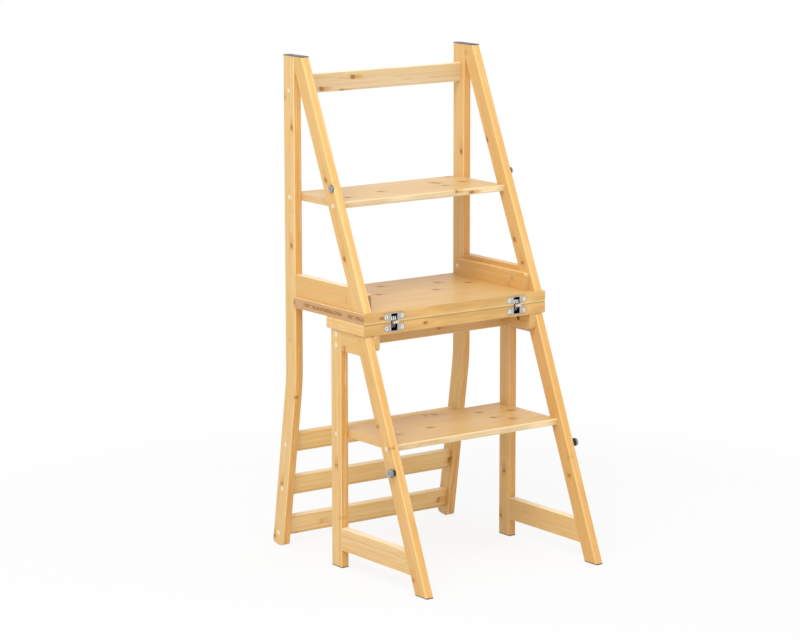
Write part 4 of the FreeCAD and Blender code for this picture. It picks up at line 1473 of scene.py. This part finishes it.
# Studio
CAMERA_PLACE = Vector((-3.1889, -4.2789, 1.4388))
CAMERA_TARGET = Vector((0.0003, 0.1100, 0.4124))
CAMERA_ROLL = math.radians(-0.062)
SENSOR_WIDTH = 36.0
FAR_END = 50.0
# Name, place and size of each lamp
LAMPS = (
    ("key", (-1.9, -1.26, 3.27), 1.8),
    ("side", (-3.3, -1.2, 0.8), 1.6),
    ("fill", (3.0, -1.2, 1.6), 2.0),
)
LAMP_TARGET = Vector((0, 0, 0.5))
WHITE = (1, 1, 1, 1)
FLOOR_PALE = (0.80, 0.80, 0.80)
FLOOR_GREY = (0.76, 0.76, 0.76)
FLOOR_GRAIN = 20 * MM
# How far the floor's own shading shows round the chair, and how strongly
SHADOW_REACH = 1.3
SHADOW_SHARE = 0.14


def lamp(name, place, size, power):
    """A square lamp turned to the middle of the chair."""
    light = bpy.data.lights.new(name, "AREA")
    light.energy = power
    light.size = size
    holder = bpy.data.objects.new(name, light)
    bpy.context.scene.collection.objects.link(holder)
    holder.location = place
    holder.rotation_euler = (LAMP_TARGET - place).to_track_quat("-Z", "Y").to_euler()


def seen_directly(finish):
    """1 for rays that show the background: the camera's, reflected and refracted ones."""
    camera = finish.node("ShaderNodeLightPath", output="Is Camera Ray")
    glossy = finish.node("ShaderNodeLightPath", output="Is Glossy Ray")
    glass = finish.node("ShaderNodeLightPath", output="Is Transmission Ray")
    return camera.at_least(glossy).at_least(glass)


def floor_finish():
    """A pale floor that looks white to the camera and keeps the chair's soft shadow."""
    finish = Finish("studio_floor")
    x, y, _ = finish.coordinates("Object")
    grain = finish.noise(finish.vector(x / FLOOR_GRAIN, y / FLOOR_GRAIN, 0.0), detail=2.0)
    shade = finish.blend(grain * 0.04, opaque(FLOOR_PALE), opaque(FLOOR_GREY))
    plain = finish.node("ShaderNodeBsdfDiffuse", sockets={"Color": shade})
    glow = finish.node("ShaderNodeEmission", sockets={"Color": WHITE, "Strength": 1.0})
    from_middle = (x * x + y * y) ** 0.5
    white = 1.0 - from_middle.fall(SHADOW_REACH * 0.6, SHADOW_REACH) * SHADOW_SHARE
    mixed = finish.node("ShaderNodeMixShader",
                        sockets=[seen_directly(finish) * white, plain, glow])
    finish.node("ShaderNodeOutputMaterial", sockets={"Surface": mixed})
    return finish.material


class LADDER_OT_studio(Operator):
    """Build the floor, the light and the camera"""
    bl_idname = "ladder_chair.studio"
    bl_label = "Studio"

    def execute(self, context):
        scene = context.scene
        studio = scene.ladder_chair_studio
        floor = start(bpy.ops.mesh.primitive_plane_add, "studio_floor", size=studio.floor_size,
                      location=(0, 0, CAD_BOX[0].z))
        floor.data.materials.append(floor_finish())

        world = bpy.data.worlds.new("studio_room")
        scene.world = world
        room = Finish(world)
        lit, seen = (room.node("ShaderNodeBackground",
                               sockets={"Color": WHITE, "Strength": strength})
                     for strength in (studio.world_light, 1.0))
        mixed = room.node("ShaderNodeMixShader", sockets=[seen_directly(room), lit, seen])
        room.node("ShaderNodeOutputWorld", sockets={"Surface": mixed})

        for name, place, size in LAMPS:
            lamp(name + "_lamp", Vector(place), size, getattr(studio, name + "_power"))

        camera = bpy.data.objects.new("studio_camera", bpy.data.cameras.new("studio_camera"))
        scene.collection.objects.link(camera)
        camera.location = CAMERA_PLACE
        look = (CAMERA_TARGET - CAMERA_PLACE).to_track_quat("-Z", "Y").to_matrix().to_4x4()
        turned = look @ Matrix.Rotation(CAMERA_ROLL, 4, "Z")
        camera.rotation_euler = turned.to_euler()
        camera.data.lens = studio.lens
        camera.data.sensor_width = SENSOR_WIDTH
        camera.data.clip_end = FAR_END
        scene.camera = camera
        scene.view_settings.view_transform = "Standard"
        return {"FINISHED"}


class LADDER_PT_chair(Panel):
    """Lists the steps that finish the chair"""
    bl_idname = "LADDER_PT_chair"
    bl_label = "Folding Ladder Chair"
    bl_space_type = "VIEW_3D"
    bl_region_type = "UI"
    bl_category = "Ladder Chair"

    def draw(self, context):
        layout = self.layout
        for heading, settings in (("Bamboo", context.scene.ladder_chair_bamboo),
                                  ("Hardware", context.scene.ladder_chair_hardware),
                                  ("Studio", context.scene.ladder_chair_studio)):
            box = layout.box()
            box.label(text=heading)
            for name in settings.bl_rna.properties.keys():
                if name not in ("rna_type", "name"):
                    box.prop(settings, name)
        for step in STEPS:
            layout.operator(step.bl_idname)


SETTINGS = {
    "ladder_chair_bamboo": BambooSettings,
    "ladder_chair_hardware": HardwareSettings,
    "ladder_chair_studio": StudioSettings,
}
STEPS = (
    LADDER_OT_side_frames,
    LADDER_OT_cross_rails,
    LADDER_OT_boards,
    LADDER_OT_tenons,
    LADDER_OT_wood_screws,
    LADDER_OT_hinge_screws,
    LADDER_OT_hinge_cups,
    LADDER_OT_hinge_links,
    LADDER_OT_hinge_pins,
    LADDER_OT_upper_studs,
    LADDER_OT_latch_knobs,
    LADDER_OT_felt_pads,
    LADDER_OT_studio,
)
CLASSES = (*SETTINGS.values(), *STEPS, LADDER_PT_chair)


def register():
    for kind in CLASSES:
        bpy.utils.register_class(kind)
    for name, kind in SETTINGS.items():
        setattr(bpy.types.Scene, name, PointerProperty(type=kind))


def unregister():
    for name in SETTINGS:
        delattr(bpy.types.Scene, name)
    for kind in reversed(CLASSES):
        bpy.utils.unregister_class(kind)


def main():
    """Runs every step in order."""
    register()
    for step in STEPS:
        group, name = step.bl_idname.split(".")
        getattr(getattr(bpy.ops, group), name)()


if __name__ == "__main__":
    main()
